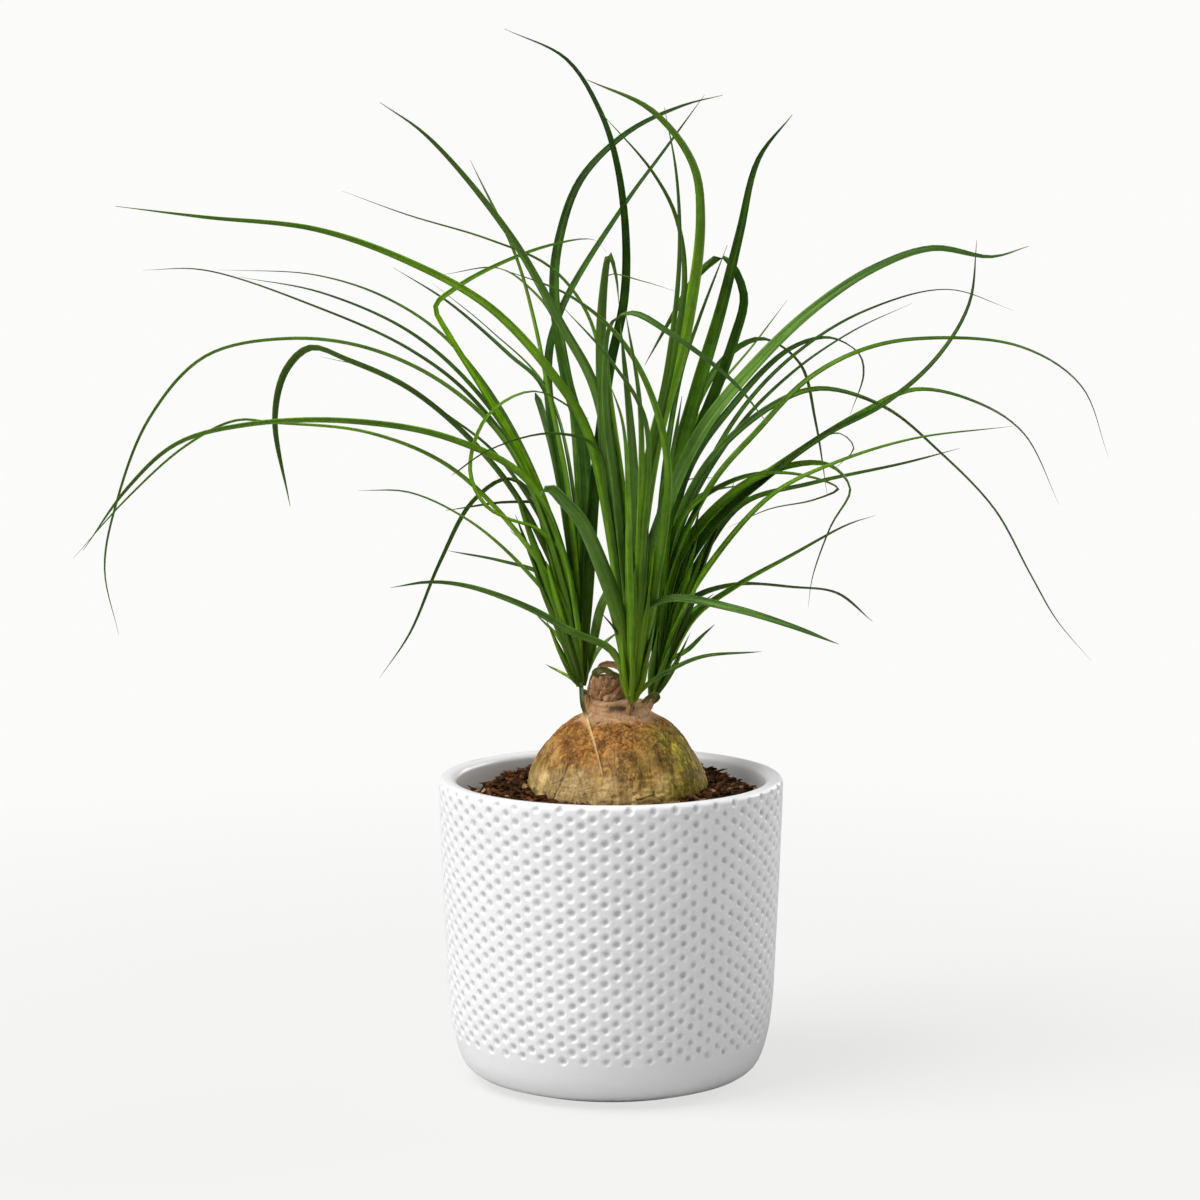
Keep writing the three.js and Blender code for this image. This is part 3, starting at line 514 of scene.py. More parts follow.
def soil_place(share, angle):
    """Where on the mound a share and an angle lie. The mound leans over to the caudex's own axis."""
    radius = SOIL_MOUTH + share * (SOIL_EDGE - SOIL_MOUTH)
    return CAUDEX_X * (1 - share) + radius * np.cos(angle), radius * np.sin(angle)


soil_angles = full_turn(SOIL_COLUMNS)
soil_rows = []
for share in np.linspace(0, 1, SOIL_RINGS):
    x, y = soil_place(share, soil_angles)
    lumps = 1.1 * smooth_noise(x / 7, y / 7, 31) + 0.6 * smooth_noise(x / 2.4, y / 2.4, 32)
    height = heap_height(share, soil_angles) + lumps * (1 - 0.5 * blend_in(0.85, 1, share))
    soil_rows.append(np.stack([x, y, height], axis=-1))
soil_rows += [round_axis(radius, soil_angles, height) for radius, height in SOIL_UNDER]
soil_points = np.concatenate(soil_rows)
soil_tone = 0.35 + 0.25 * smooth_noise(soil_points[:, 0] / 3, soil_points[:, 1] / 3, 33)
make_piece("soil", "potting_mix", "soil_mound", soil_points, ring_faces(len(soil_rows), SOIL_COLUMNS),
           mix_bark, {"tone": soil_tone})

# %% Bark shreds on the mound
SHRED_COUNT = 1500
SHRED_LENGTH = [2.0, 9.5]
SHRED_WIDTH = [0.9, 3.4]
SHRED_THICKNESS = [0.4, 1.5]
SHRED_CORNERS = np.array([[-1, -1, -1], [1, -1, -1], [1, 1, -1], [-1, 1, -1],
                          [-1, -1, 1], [1, -1, 1], [1, 1, 1], [-1, 1, 1]]) * 0.5
SHRED_FACES = [(0, 3, 2, 1), (4, 5, 6, 7), (0, 1, 5, 4), (1, 2, 6, 5), (2, 3, 7, 6), (3, 0, 4, 7)]


def turn_matrix(tilt_x, tilt_y, turn):
    """Tilts about X, then about Y, then turns about Z."""
    cx, sx, cy, sy, cz, sz = (f(a) for a in (tilt_x, tilt_y, turn) for f in (math.cos, math.sin))
    about_x = np.array([[1, 0, 0], [0, cx, -sx], [0, sx, cx]])
    about_y = np.array([[cy, 0, sy], [0, 1, 0], [-sy, 0, cy]])
    about_z = np.array([[cz, -sz, 0], [sz, cz, 0], [0, 0, 1]])
    return about_z @ about_y @ about_x


random = np.random.default_rng(41)
shred_points, shred_faces, shred_tones = [], [], []
for index in range(SHRED_COUNT):
    share = 0.01 + 0.93 * random.random() ** 0.9
    angle = 2 * math.pi * random.random()
    small = random.random() ** 1.6
    length = np.interp(small, [0, 1], SHRED_LENGTH)
    width = random.uniform(*SHRED_WIDTH) * (0.5 + 0.5 * small)
    size = np.array([length, width, random.uniform(*SHRED_THICKNESS)])
    corners = SHRED_CORNERS * (1 + 0.5 * random.uniform(-1, 1, (8, 3))) * size
    corners = corners @ turn_matrix(0.4 * random.standard_normal(), 0.24 * random.standard_normal(),
                                    2 * math.pi * random.random()).T
    x, y = soil_place(share, angle)
    corners += [x, y, heap_height(share, angle) + 0.2 + 1.3 * random.random() ** 1.5]
    inside = min(1.0, (SOIL_EDGE - 0.4) / np.hypot(corners[:, 0], corners[:, 1]).max())
    corners[:, :2] *= inside
    shred_faces += [tuple(corner + 8 * index for corner in face) for face in SHRED_FACES]
    shred_points.append(corners)
    shred_tones += [random.random()] * 8
make_piece(None, "potting_mix", "soil_shreds", np.concatenate(shred_points), shred_faces, mix_bark,
           {"tone": shred_tones}, smooth=False)

# %% [markdown]
# The caudex is the plant's water store, and its bark is the liveliest surface here. From the neck down it
# shows four skins: a pinkish-brown neck with two creases, an orange-brown shoulder full of small pits, a
# darker middle with upright streaks, and pale corky flakes with cracks between them near the soil. The orange
# reaches lower at the front left. The right flank has gone olive, and so has a little of the left foot. One
# long crack runs up through the flakes at the left.
#
# A turned shape gives the form. It is pushed in and out along its own normals by cracks, pits and flakes,
# which come from the distance to the nearest of many scattered seed points, as dried mud cracks do. The same
# masks go with the points to the material, so colour and relief always agree. The hollows are painted
# darker: partly the bark's own colour, partly painted shade.

# %% Smooth courses
def smooth_course(points, spacing):
    """Points along a smooth curve through the given ones, about a spacing apart, and each one's share of it.
    The curve is a centripetal Catmull-Rom one."""
    points = np.asarray(points, dtype=float)
    ends = np.concatenate([[2 * points[0] - points[1]], points, [2 * points[-1] - points[-2]]])
    course = [points[0]]
    for before, start, end, after in zip(ends[:-3], ends[1:-2], ends[2:-1], ends[3:]):
        knots = [math.sqrt(np.linalg.norm(step)) for step in (start - before, end - start, after - end)]
        leaving = (start - before) / knots[0] - (end - before) / (knots[0] + knots[1])
        arriving = (after - end) / knots[2] - (after - start) / (knots[1] + knots[2])
        leaving, arriving = ((way + (end - start) / knots[1]) * knots[1] for way in (leaving, arriving))
        steps = max(1, math.ceil(np.linalg.norm(end - start) / spacing))
        for step in range(1, steps + 1):
            t = step / steps
            course.append((2 * t**3 - 3 * t**2 + 1) * start + (t**3 - 2 * t**2 + t) * leaving
                          + (3 * t**2 - 2 * t**3) * end + (t**3 - t**2) * arriving)
    course = np.array(course)
    lengths = np.concatenate([[0], np.cumsum(np.linalg.norm(np.diff(course, axis=0), axis=1))])
    return course, lengths / lengths[-1]


# %% Cracks and flakes
SEARCH_PARTS = 60


def nearest_seeds(points, seeds):
    """For each point, which seed is nearest, and how much further off the second nearest one is. The points
    are taken in parts to save memory."""
    nearest, gaps = [], []
    for part in np.array_split(points, SEARCH_PARTS):
        square = ((part[:, None, :] - seeds[None, :, :]) ** 2).sum(axis=2)
        two = np.partition(square, 1, axis=1)[:, :2]
        nearest.append(square.argmin(axis=1))
        gaps.append(np.sqrt(two[:, 1]) - np.sqrt(two[:, 0]))
    return np.concatenate(nearest), np.concatenate(gaps)


def caudex_radius(height):
    """The shown caudex's radius at a height, before any relief."""
    radii, heights = np.transpose(CAUDEX_SHOWN)
    return np.interp(height, heights, radii)


def scattered_seeds(count, low, high, seed):
    """Seed points spread over the bark between two heights."""
    random = np.random.default_rng(seed)
    heights = random.uniform(low, high, count)
    angles = random.uniform(0, 2 * math.pi, count)
    return round_axis(caudex_radius(heights), angles, heights)


# %% The caudex's form
CAUDEX_BURIED = [[0, 112], [13, 114], [28, 121], [38, 130], [43.4, 139]]
CAUDEX_SHOWN = [[45.4, 147], [44.2, 153], [41.2, 160], [37.8, 165.5], [33.9, 171.5], [29.4, 176.4],
                [23.3, 180.8], [16, 185], [14.4, 188], [13.8, 190.2]]
CAUDEX_TOP = [[9, 191.6], [0, 192]]
CAUDEX_COLUMNS = 420
BARK_SPACING = 0.34
BURIED_BELOW = 143
BURIED_STRIDE = 12

course, _ = smooth_course(CAUDEX_BURIED + CAUDEX_SHOWN + CAUDEX_TOP, BARK_SPACING)
# Below the mix, where nothing shows, only every twelfth row is kept.
is_spare = (course[:, 1] < BURIED_BELOW) & (np.arange(len(course)) % BURIED_STRIDE != 0)
profile = course[~is_spare]
slope = np.gradient(profile, axis=0)
slope /= np.linalg.norm(slope, axis=1)[:, None]
radius, height, outward, upward = (np.repeat(part, CAUDEX_COLUMNS)
                                   for part in (profile[:, 0], profile[:, 1], slope[:, 1], -slope[:, 0]))
angle = np.tile(full_turn(CAUDEX_COLUMNS), len(profile))
skin = round_axis(radius, angle, height)
print("bark sheet:", len(profile), "rows by", CAUDEX_COLUMNS, "columns")

# %% The caudex's four skins
turns = angle / (2 * math.pi)
degrees = (angle * 180 / math.pi + 180) % 360 - 180


def bark_noise(count, cell_height, seed):
    """Smooth noise on the bark, in so many cells round it, each so many mm high."""
    return smooth_noise(turns * count, height / cell_height, seed, wrap=count)


wander = 5 * bark_noise(9, 9, 51) + 2.2 * bark_noise(31, 4, 52)
neck_share = blend_in(181.5, 184.5, height + 0.25 * wander)
warm_side = bell(degrees, -125, 26)
shoulder_share = blend_in(167, 173, height + 0.8 * wander + 5 * warm_side) * (1 - neck_share)
flake_share = 1 - blend_in(155, 164, height + 1.1 * wander)
middle_share = 1 - np.maximum(np.maximum(neck_share, shoulder_share), flake_share)
olive_share = bell(degrees, -31, 31) * (1 - blend_in(174, 184, height))
olive_share += 0.35 * bell(degrees, -168, 20) * (1 - blend_in(156, 168, height))
olive_share *= 0.95 + 0.5 * bark_noise(23, 6, 53)

# %% Flakes and pits
pulled = skin + 1.6 * np.stack([bark_noise(47, 3, 54 + i) for i in range(3)], -1)
flake_seeds = scattered_seeds(90, 142, 174, 61)
flake_cell, flake_gap = nearest_seeds(pulled * [1, 1, 0.75], flake_seeds * [1, 1, 0.75])
pit_seeds = scattered_seeds(950, 164, 186, 62)
pit_cell, pit_gap = nearest_seeds(pulled * [1, 1, 1.25], pit_seeds * [1, 1, 1.25])
pit_cracks = (1 - blend_in(0.05, 0.5, pit_gap)) * shoulder_share
flake_random = np.random.default_rng(65)
flake_height = flake_random.uniform(-1, 1, len(flake_seeds))[flake_cell]
flake_lean = np.radians(flake_random.normal(0, 38, len(flake_seeds)))[flake_cell]

# Each flake has its own fine grain, mostly upright. Cracks open only here and there along the flakes' edges.
sideways = angle * 42 + 1.1 * bark_noise(71, 2.5, 68)
grain_phase = sideways * np.cos(flake_lean) + height * np.sin(flake_lean)
grain_width = 1.3 + 0.5 * bark_noise(29, 5, 69)
open_share = blend_in(-0.25, 0.5, bark_noise(27, 5, 70))
flake_cracks = (1 - blend_in(0.02, 0.5, flake_gap)) * flake_share * (0.25 + 0.75 * open_share)
flake_grain = blend_in(0.35, 0.95, np.sin(2 * math.pi * grain_phase / grain_width))
flake_grain *= flake_share * (0.15 + 0.6 * (1 - open_share))

# %% Streaks, creases and the long crack
streaks = bark_noise(61, 13, 63) + 0.6 * bark_noise(118, 7, 64)
streak_cracks = 1 - blend_in(0.0, 0.2, np.abs(streaks))
crease_sway = 0.9 * np.sin(2 * angle + 0.7) + 0.6 * bark_noise(9, 9, 73)
creases = bell(height, 185.0 + crease_sway, 0.45) + 1.3 * bell(height, 189.2 + 0.6 * crease_sway, 0.55)
creases *= 0.45 * (0.35 + 0.65 * blend_in(-0.6, 0.5, bark_noise(11, 6, 74))) * neck_share
long_crack_degrees = np.interp(height, [146, 158, 170], [-134.5, -130.5, -128.5]) - 0.15 * wander
long_crack_off = np.abs(np.radians(degrees - long_crack_degrees)) * radius
long_crack = (1 - blend_in(0.15, 0.6, long_crack_off)) * (1 - blend_in(166, 170, height))

# %% The caudex's relief
lumps = 0.45 * np.sin(3 * angle + height * 0.11) + 0.3 * np.sin(7 * angle - height * 0.2)
relief = lumps * blend_in(147, 158, height)
relief += 0.3 * flake_share * flake_height - 0.55 * flake_share * flake_cracks - 0.16 * flake_grain
relief -= 0.45 * pit_cracks + 0.34 * streak_cracks * (middle_share + 0.3 * flake_share)
relief += 0.3 * bark_noise(113, 1.4, 66) * (1 - 0.6 * neck_share)
relief -= 0.5 * creases + 0.9 * long_crack
relief *= blend_in(140, 147, height) * (1 - blend_in(190, 191.5, height))
skin += round_axis(relief * outward, angle, relief * upward) + [CAUDEX_X, 0, 0]

# %% How dark the bark is painted in its cracks and its shade, and how light each part is
# Between the stub and the front crown the neck lies in shade, and that shade is painted dark. The rest of the
# neck gets dark blotches by chance.
neck_shade_and_blotches = bell(degrees, -86, 20) * bell(height, 189.2, 2.3) * (1.25 + 0.35 * wander / 5)
neck_shade_and_blotches += 0.5 * neck_share * blend_in(0.25, 0.8, bark_noise(21, 2.4, 76))
# Cracks, pits and creases are painted darker, partly the bark's own colour and partly painted shade in these
# hollows; the flakes' grain is darker too.
cracks_and_shade = 0.95 * flake_cracks + 0.5 * flake_grain + 0.6 * pit_cracks + long_crack + 0.6 * creases + neck_shade_and_blotches
cracks_and_shade += 0.6 * streak_cracks * (middle_share + 0.3 * flake_share + 0.6 * shoulder_share)
pit_tone = np.random.default_rng(67).uniform(0, 1, len(pit_seeds))[pit_cell]
patches = blend_in(0.1, 0.7, bark_noise(8, 11, 72))
bark_tone = flake_share * (0.6 + 0.4 * flake_height) + shoulder_share * (0.35 + 0.5 * pit_tone)
bark_tone += 0.55 * (middle_share + neck_share) - 0.45 * patches * (middle_share + 0.5 * shoulder_share)

# %% The bark's finish
bark = Finish("cork_bark", 0.72, specular=0.12)
shoulder, flaky, neck = bark.carried_parts("skins")
olive, dark, tone = bark.carried_parts("wear")
upright = bark.stretch(bark.place, (1, 1, 0.22))
middle = bark.mottle((0.50, 0.28, 0.085), (0.13, 0.058, 0.014), 120.0, 600.0, 0.5, 0.75, upright)
orange = bark.mottle((0.50, 0.23, 0.05), (0.17, 0.06, 0.012), 120.0, 600.0, 0.5, 0.6)
pale = bark.mottle((0.78, 0.55, 0.25), (0.33, 0.205, 0.07), 110.0, 600.0, 0.5, 0.65, upright)
pinkish = bark.mottle((0.60, 0.37, 0.20), (0.33, 0.17, 0.075), 150.0, 900.0, 0.55, 0.45)
green = bark.mottle((0.70, 0.56, 0.06), (0.20, 0.155, 0.009), 130.0, 500.0, 0.45, 0.8, upright)
threads = bark.noise(bark.stretch(bark.place, (1, 1, 0.14)), 700.0, 2.0)
specks = bark.noise(bark.place, 300.0, 1.0)
colour = bark.layers(
    middle, (shoulder, orange), (flaky, pale), (olive, green),
    (bark.range(threads, 0.56, 0.66, 0.0, 0.35), (0.62, 0.44, 0.16)), (neck, pinkish),
    (bark.range(specks, 0.7, 0.75, 0.0, 0.75), (0.07, 0.03, 0.012)))
toned = bark.add("HueSaturation", {"Color": colour, "Value": bark.range(tone, 0.0, 1.0, 0.62, 1.25)})
# dark darkens the colour: in cracks, pits and creases partly the bark's own colour and partly painted shade,
# and on the neck's gap painted shade.
bark.feed("Base Color", bark.mix(bark.math("MULTIPLY", dark, 0.85), toned, (0.035, 0.018, 0.008)))
bark.grain(700.0, 0.35, 0.55, 0.0007, upright)

# %% The caudex
make_piece("caudex", "bark", "caudex_bark", skin, ring_faces(len(profile), CAUDEX_COLUMNS), bark,
           {"skins": np.stack([shoulder_share, flake_share, neck_share], -1),
            "wear": np.stack([np.clip(olive_share, 0, 1), np.clip(cracks_and_shade, 0, 1), bark_tone], -1)})

# %% [markdown]
# Above the neck stands the stub of the old stem, cut off long ago, with a rounded knob at its front. It is
# fleshy and brown at its foot and hollow at its top. Short collars carry the three crowns. All of them are
# small turned shapes with the same bark.

# %% The stub and the collars
STUB_MIDDLE = np.array([-2.1, 2.5, 0.0])
STUB_OUTLINE = [[0, 186], [8.4, 186], [8.0, 190], [8.4, 193.5], [8.3, 197], [7.6, 200.5], [6.0, 202.8],
                [4.6, 203.2], [3.8, 201.8], [0, 200.6]]
STUB_KNOB = [[0, -3], [4.4, -2.8], [5.8, -0.6], [5.2, 1.6], [3, 2.9], [0, 3.2]]
STUB_KNOB_MIDDLE = np.array([-0.6, -3.4, 192.6])
COLLAR_SHARES = [[0, 0], [0.42, 0], [0.46, 0.3], [0.48, 0.6], [0.45, 0.85], [0.34, 1.0], [0, 1.06]]
COLLAR_BOTTOM = 181.0
COLLAR_INSET = 0.75
SMALL_COLUMNS = 96


def turned_lump(name, outline, roughness, seed, move, greenness=0.0, tone=0.5):
    """A small turned shape with an uneven skin. move places its points, given round the origin."""
    course, _ = smooth_course(outline, 0.45)
    angle, radius = np.meshgrid(full_turn(SMALL_COLUMNS), np.maximum(course[:, 0], 0))
    height = np.repeat(course[:, 1:], SMALL_COLUMNS, axis=1)
    turns = angle / (2 * math.pi)
    rough = smooth_noise(turns * 13, height / 3, seed, wrap=13)
    rough += 0.6 * smooth_noise(turns * 37, height / 0.9, seed + 1, wrap=37)
    radius = radius + roughness * rough * blend_in(0, 3, radius)
    points = round_axis(radius, angle, height + 0.5 * roughness * rough).reshape(-1, 3)
    # The skin's hollows are painted darker, a painted shade, and where it stands out it is lighter, a painted
    # light.
    pits = blend_in(0.45, 1.1, -rough).ravel()
    skins = np.tile([0.0, 0.0, 0.9 - 0.6 * greenness], (pits.size, 1))
    lump_wear_and_shade = np.stack([np.full(pits.size, greenness), pits, tone + 0.4 * rough.ravel()], -1)
    make_piece(None, "bark", name, move(points), ring_faces(len(course), SMALL_COLUMNS), bark,
               {"skins": skins, "wear": lump_wear_and_shade})


turned_lump("stem_stub", STUB_OUTLINE, 0.6, 71, lambda points: points + STUB_MIDDLE)
turned_lump("stub_knob", STUB_KNOB, 0.55, 75, lambda points: points + STUB_KNOB_MIDDLE, tone=0.0)

# %% [markdown]
# Every leaf was followed on the plant: its width, how far its flat side is turned in degrees, how far its
# tip stands behind the pot's middle (before it, where the number is negative), and a few points of its
# midline as they look from the viewpoint. A leaf with a blunt end has two widths, the second one at its end.
# Each crown also has its foot, the way it leans, the radius of its core, how dark a painted shade makes its
# leaves at the base (shade), and how high above the foot its short sheaths start (low).

# %% The leaves of the three crowns
LEFT_LEAVES = [
    [8, 12, 70, [-24, 250], [-42, 305], [-70, 343.5], [-100, 366.5], [-145, 387], [-200, 405],
     [-230, 404.8]],
    [5, 5, 120, [-24, 262], [-48, 325], [-80, 370], [-110, 391], [-145, 402.5], [-193, 405]],
    [6.5, 8, 95, [-22, 255], [-46, 315], [-70, 349], [-100, 375], [-143, 394], [-183, 401.5]],
    [8, 10, 30, [-24, 250], [-50, 317], [-80, 347.5], [-120, 366.7], [-160, 371.3], [-200, 362.5],
     [-228, 332], [-245, 290], [-251.5, 257], [-245, 224]],
    [9, 22, 10, [-24, 262], [-42, 301], [-80, 321.5], [-130, 330.2], [-180, 328.5], [-215, 319],
     [-240, 296.5], [-262, 266]],
    [7.5, 10, 45, [-22, 235], [-45, 273], [-80, 308], [-120, 325], [-166, 329.8], [-185, 331],
     [-210, 318.5], [-240, 292], [-267, 262]],
    [9, 28, 80, [-22, 240], [-45, 290], [-70, 321.5], [-100, 346.5], [-130, 360.5], [-148, 366.5],
     [-160, 356], [-166, 332], [-159, 288]],
    [5, 5, 100, [-26, 262], [-55, 312], [-80, 333], [-115, 355], [-143, 362.3]],
    [9, 45, 60, [-17, 250], [-22, 300], [-31, 345], [-38, 380], [-47, 412], [-69, 458.5]],
    [5, 24, 35, [-21, 250], [-40, 305], [-62, 344], [-80, 373], [-86.5, 387], [-78, 395], [-60, 405.5],
     [-30, 417], [-8, 419.5], [-2, 413]],
    [5, 8, 150, [-20, 260], [-33, 346], [-50, 363], [-80, 389], [-107, 406]],
    [5, 8, 60, [-18, 290], [-32, 347], [-60, 376], [-88, 398.5]],
    [5, 5, 170, [-16, 290], [-27, 378], [-40, 396], [-55, 405.8], [-83, 402.5]],
    [7, 15, 95, [-19, 270], [-31, 355], [-25, 384], [6, 436], [25, 462], [45.5, 490]],
    [8, 30, 60, [-12, 250], [-14, 320], [-22, 352], [-28, 395], [-25.5, 420], [-15, 449], [8, 472],
     [35, 485], [54.5, 490]],
    [8, -30, 25, [-12, 250], [-8, 305], [-1, 357], [6, 390], [7, 420], [3, 455], [-5, 481], [-22, 507.5],
     [-52, 522]],
    [7, 8, 25, [-22, 229], [-42, 256], [-70, 281], [-100, 295.3], [-125, 296]],
    [7, 14, 50, [-22, 250], [-36, 289], [-50, 302], [-68, 291], [-85, 260], [-100, 225], [-115.5, 202]],
    [7, 10, 15, [-25, 265], [-33, 288], [-50, 290.3], [-82, 286]],
    [4, 5, 140, [-20, 235], [-35, 262.5], [-50, 276]],
    [7, 12, 100, [-20, 240], [-35, 254.5], [-55, 261], [-81, 266]],
    [6, 15, 60, [-18, 207], [-25, 221], [-38, 235]],
    [[5.5, 3], 15, 30, [-18, 200.5], [-22, 203.5], [-32.5, 209]],
    [5, 10, -10, [-15.6, 215], [-18, 237], [-22.5, 262], [-29, 279], [-35.5, 292]],
    [[8, 4.4], 5, 60, [-20, 265], [-28, 312], [-34, 334], [-37.5, 344.5]],
    [[3.5, 1.8], 12, 5, [-20, 255], [-36, 276.5], [-50, 281.5], [-62, 288.5], [-69.7, 306], [-61, 333],
     [-38, 345.4], [-11, 331.5]],
    [4, 10, 90, [-9, 212], [-4, 219], [4.5, 226]],
    [6, 20, 120, [-10, 215], [-5, 238], [4, 254], [16, 275]],
]
FRONT_LEAVES = [
    [9, 12, -50, [0, 215.5], [-20, 225], [-40, 236.5], [-70, 247.8], [-90, 250.3], [-109.5, 247.5]],
    [11, 8, -45, [8, 230], [1, 285], [-4, 345], [-4.5, 385], [-0.8, 412.5], [2.4, 402], [3.8, 388]],
    [8, 35, -90, [9, 235], [3, 290], [-3, 350], [1, 380], [10, 383.7], [30, 373], [60, 350], [77.5, 329]],
    [[10, 5], 60, -75, [5, 230], [-4, 257], [-15, 281], [-24, 291], [-29.5, 296.5], [-33.5, 296.5],
     [-35, 292.5]],
    [6.5, 45, -95, [3, 250], [-12, 325], [-28, 352], [-60, 386.5], [-100, 409], [-145, 424.7],
     [-200, 430.7], [-243, 436]],
    [9, 25, -60, [5, 262], [-8, 345], [-25, 378], [-50, 422], [-90, 470], [-113, 486.5]],
    [6, 10, -34, [7, 270], [-3, 350], [-12, 384], [-30, 406.5], [-60, 420], [-100, 432], [-132, 443.5]],
    [5.5, 8, -120, [20, 240], [28, 305], [20, 342.5], [4, 371.5], [-20, 392], [-57, 406.5]],
    [4, 5, -150, [16, 270], [17, 330], [0, 360], [-24, 387]],
    [10, 78, -22, [12, 250], [22, 320], [37, 375], [44, 430], [40, 457], [20, 482.5], [-12, 497.5]],
    [5.5, 10, -55, [14, 280], [30, 360], [36, 400], [32, 430], [20, 453], [-5, 481.5]],
    [4.5, 5, -75, [13, 280], [28, 358], [33.5, 410], [32, 451], [26, 484]],
    [5, 10, -130, [14, 260], [14.5, 335], [7, 385]],
    [8, 10, -105, [12, 250], [11, 310], [4.5, 379]],
    [4, 5, -145, [9, 270], [6, 328], [-1, 350]],
    [[4.5, 2], 15, -65, [5, 240], [-2, 290], [-8, 318], [-30, 324.5], [-60, 316.5], [-79, 303.5]],
    [4.5, 5, -40, [8, 280], [-2, 360], [-2.5, 402], [15, 399.5], [31, 394.6]],
    [9, 14, -70, [14, 215], [18, 236], [30, 241.7], [60, 237], [90, 228], [113.5, 219]],
    [8, 14, -45, [18, 199], [30, 206.5], [45, 212.8], [75, 215.5]],
    [5, 10, -28, [6, 215], [3, 225], [-5, 235]],
    [8, 15, -45, [16, 212], [21, 236], [25, 268], [29, 305], [35, 343]],
    [10, 65, -62, [13, 235], [27, 285], [45, 325], [70, 357], [100, 386], [130, 406], [158, 415.5],
     [187, 411.3], [205, 416.5]],
]
RIGHT_LEAVES = [
    [9, 18, 60, [30, 240], [50, 277], [78, 303], [105, 323], [135, 339], [160, 361], [176, 388],
     [179.5, 419.5]],
    [5, 5, 120, [30, 262], [50, 312], [70, 343], [95, 367], [125, 385], [165, 395.5], [198, 385]],
    [4.5, 4, 150, [34, 275], [62, 326], [90, 355], [120, 375.5], [148, 388.5]],
    [7, 8, 40, [28, 250], [50, 299], [72, 325], [97, 351], [125, 366], [155, 371.3], [202, 367.2],
     [232, 348], [246, 312.5]],
    [7.5, 10, 90, [28, 262], [48, 309], [80, 338], [103, 346.4], [135, 337.5], [163, 315], [190, 287],
     [208, 255], [222, 231], [239, 211]],
    [7, 12, 100, [32, 250], [60, 290], [90, 313], [125, 335], [150, 346], [180, 340], [204, 324.5],
     [222, 289]],
    [8, 12, 20, [30, 225], [50, 260], [80, 294], [110, 309.5], [150, 322], [199, 328]],
    [7.5, 10, 75, [28, 225], [45, 262], [65, 289], [100, 299.7], [145, 309.7], [172.5, 317]],
    [6.5, 12, 130, [30, 300], [48, 350], [63, 367], [76, 371], [93, 359], [101, 330], [107, 294]],
    [4.5, 5, 170, [34, 310], [50, 343], [70, 368], [86.5, 390]],
    [6, 12, 140, [36, 300], [60, 338], [88, 366], [108, 371.7], [122, 364], [124.5, 354], [118, 333.5]],
    [5, 10, 110, [40, 270], [75, 300], [97, 319], [113, 324.5], [120, 317], [112, 308]],
    [8, 14, 50, [34, 262], [60, 294], [84, 307], [108, 308.5], [118.5, 297], [109, 278], [100, 252],
     [98, 237.5]],
    [6, 10, 30, [34, 280], [62, 301.5], [90, 304.5], [112.5, 297], [100, 291], [78, 286.5], [58, 277.5]],
    [5, 8, 150, [32, 270], [42, 292], [68, 299.5]],
    [8, 14, 35, [30, 212], [42, 233], [62, 248], [90, 264], [118, 279.5], [131, 283.5]],
    [7, 10, 100, [28, 222], [40, 241], [62, 249.2], [90, 248], [112, 245], [130, 230.5]],
    [5.5, 12, 60, [26, 208], [38, 216], [46, 224], [51.5, 229]],
    [5.5, 10, 90, [27, 212], [38, 233], [51, 244.5]],
    [6, 10, 110, [30, 265], [36, 300], [52, 302.5]],
    [10.5, 68, 30, [26, 280], [42, 345], [54, 386], [63, 423], [72, 459], [88.5, 480.5]],
    [9, 15, 45, [28, 285], [45, 330], [60, 370], [65, 393], [55, 411], [43, 403], [30, 382], [16.5, 358]],
    [4.5, 5, 180, [25, 290], [34, 352], [43, 380], [57, 417]],
]
CROWNS = {
    "crown_left": {"foot": [-13.4, 3, 195], "lean": [-0.3, 0.08, 0.94], "core": 4.5, "shade": 0.5,
                   "low": 3.0, "leaves": LEFT_LEAVES},
    "crown_front": {"foot": [10.5, -13, 193], "lean": [0.04, -0.25, 0.96], "core": 5.4, "shade": -0.25,
                    "low": -0.8, "leaves": FRONT_LEAVES},
    "crown_right": {"foot": [20.4, 9, 190.4], "lean": [0.3, 0.15, 0.94], "core": 5.2, "shade": 0.7,
                    "low": 0.6, "leaves": RIGHT_LEAVES},
}
print("leaves:", {name: len(crown["leaves"]) for name, crown in CROWNS.items()})


# %% Where a leaf runs
DEPTH_POWER = 1.5
ROOT_SHARE = 0.35
ROOT_HEIGHT = 3
LEAF_SPACING = 5.5


def on_sight_line(seen, depth):
    """The point at a given depth that the viewpoint sees where [x, z] of the plane y = 0 is."""
    flat = np.array([seen[0], 0.0, seen[1]])
    return (flat - VIEWPOINT) * (1 - depth / VIEWPOINT[1]) + VIEWPOINT


def crown_axes(lean):
    """A turn that stands the vertical axis along the crown's own axis, without twisting it."""
    axis = np.array(lean) / np.linalg.norm(lean)
    cross = np.cross([0, 0, 1], axis)
    skew = np.array([[0, -cross[2], cross[1]], [cross[2], 0, -cross[0]], [-cross[1], cross[0], 0]])
    return np.eye(3) + skew + skew @ skew / (1 + axis[2])


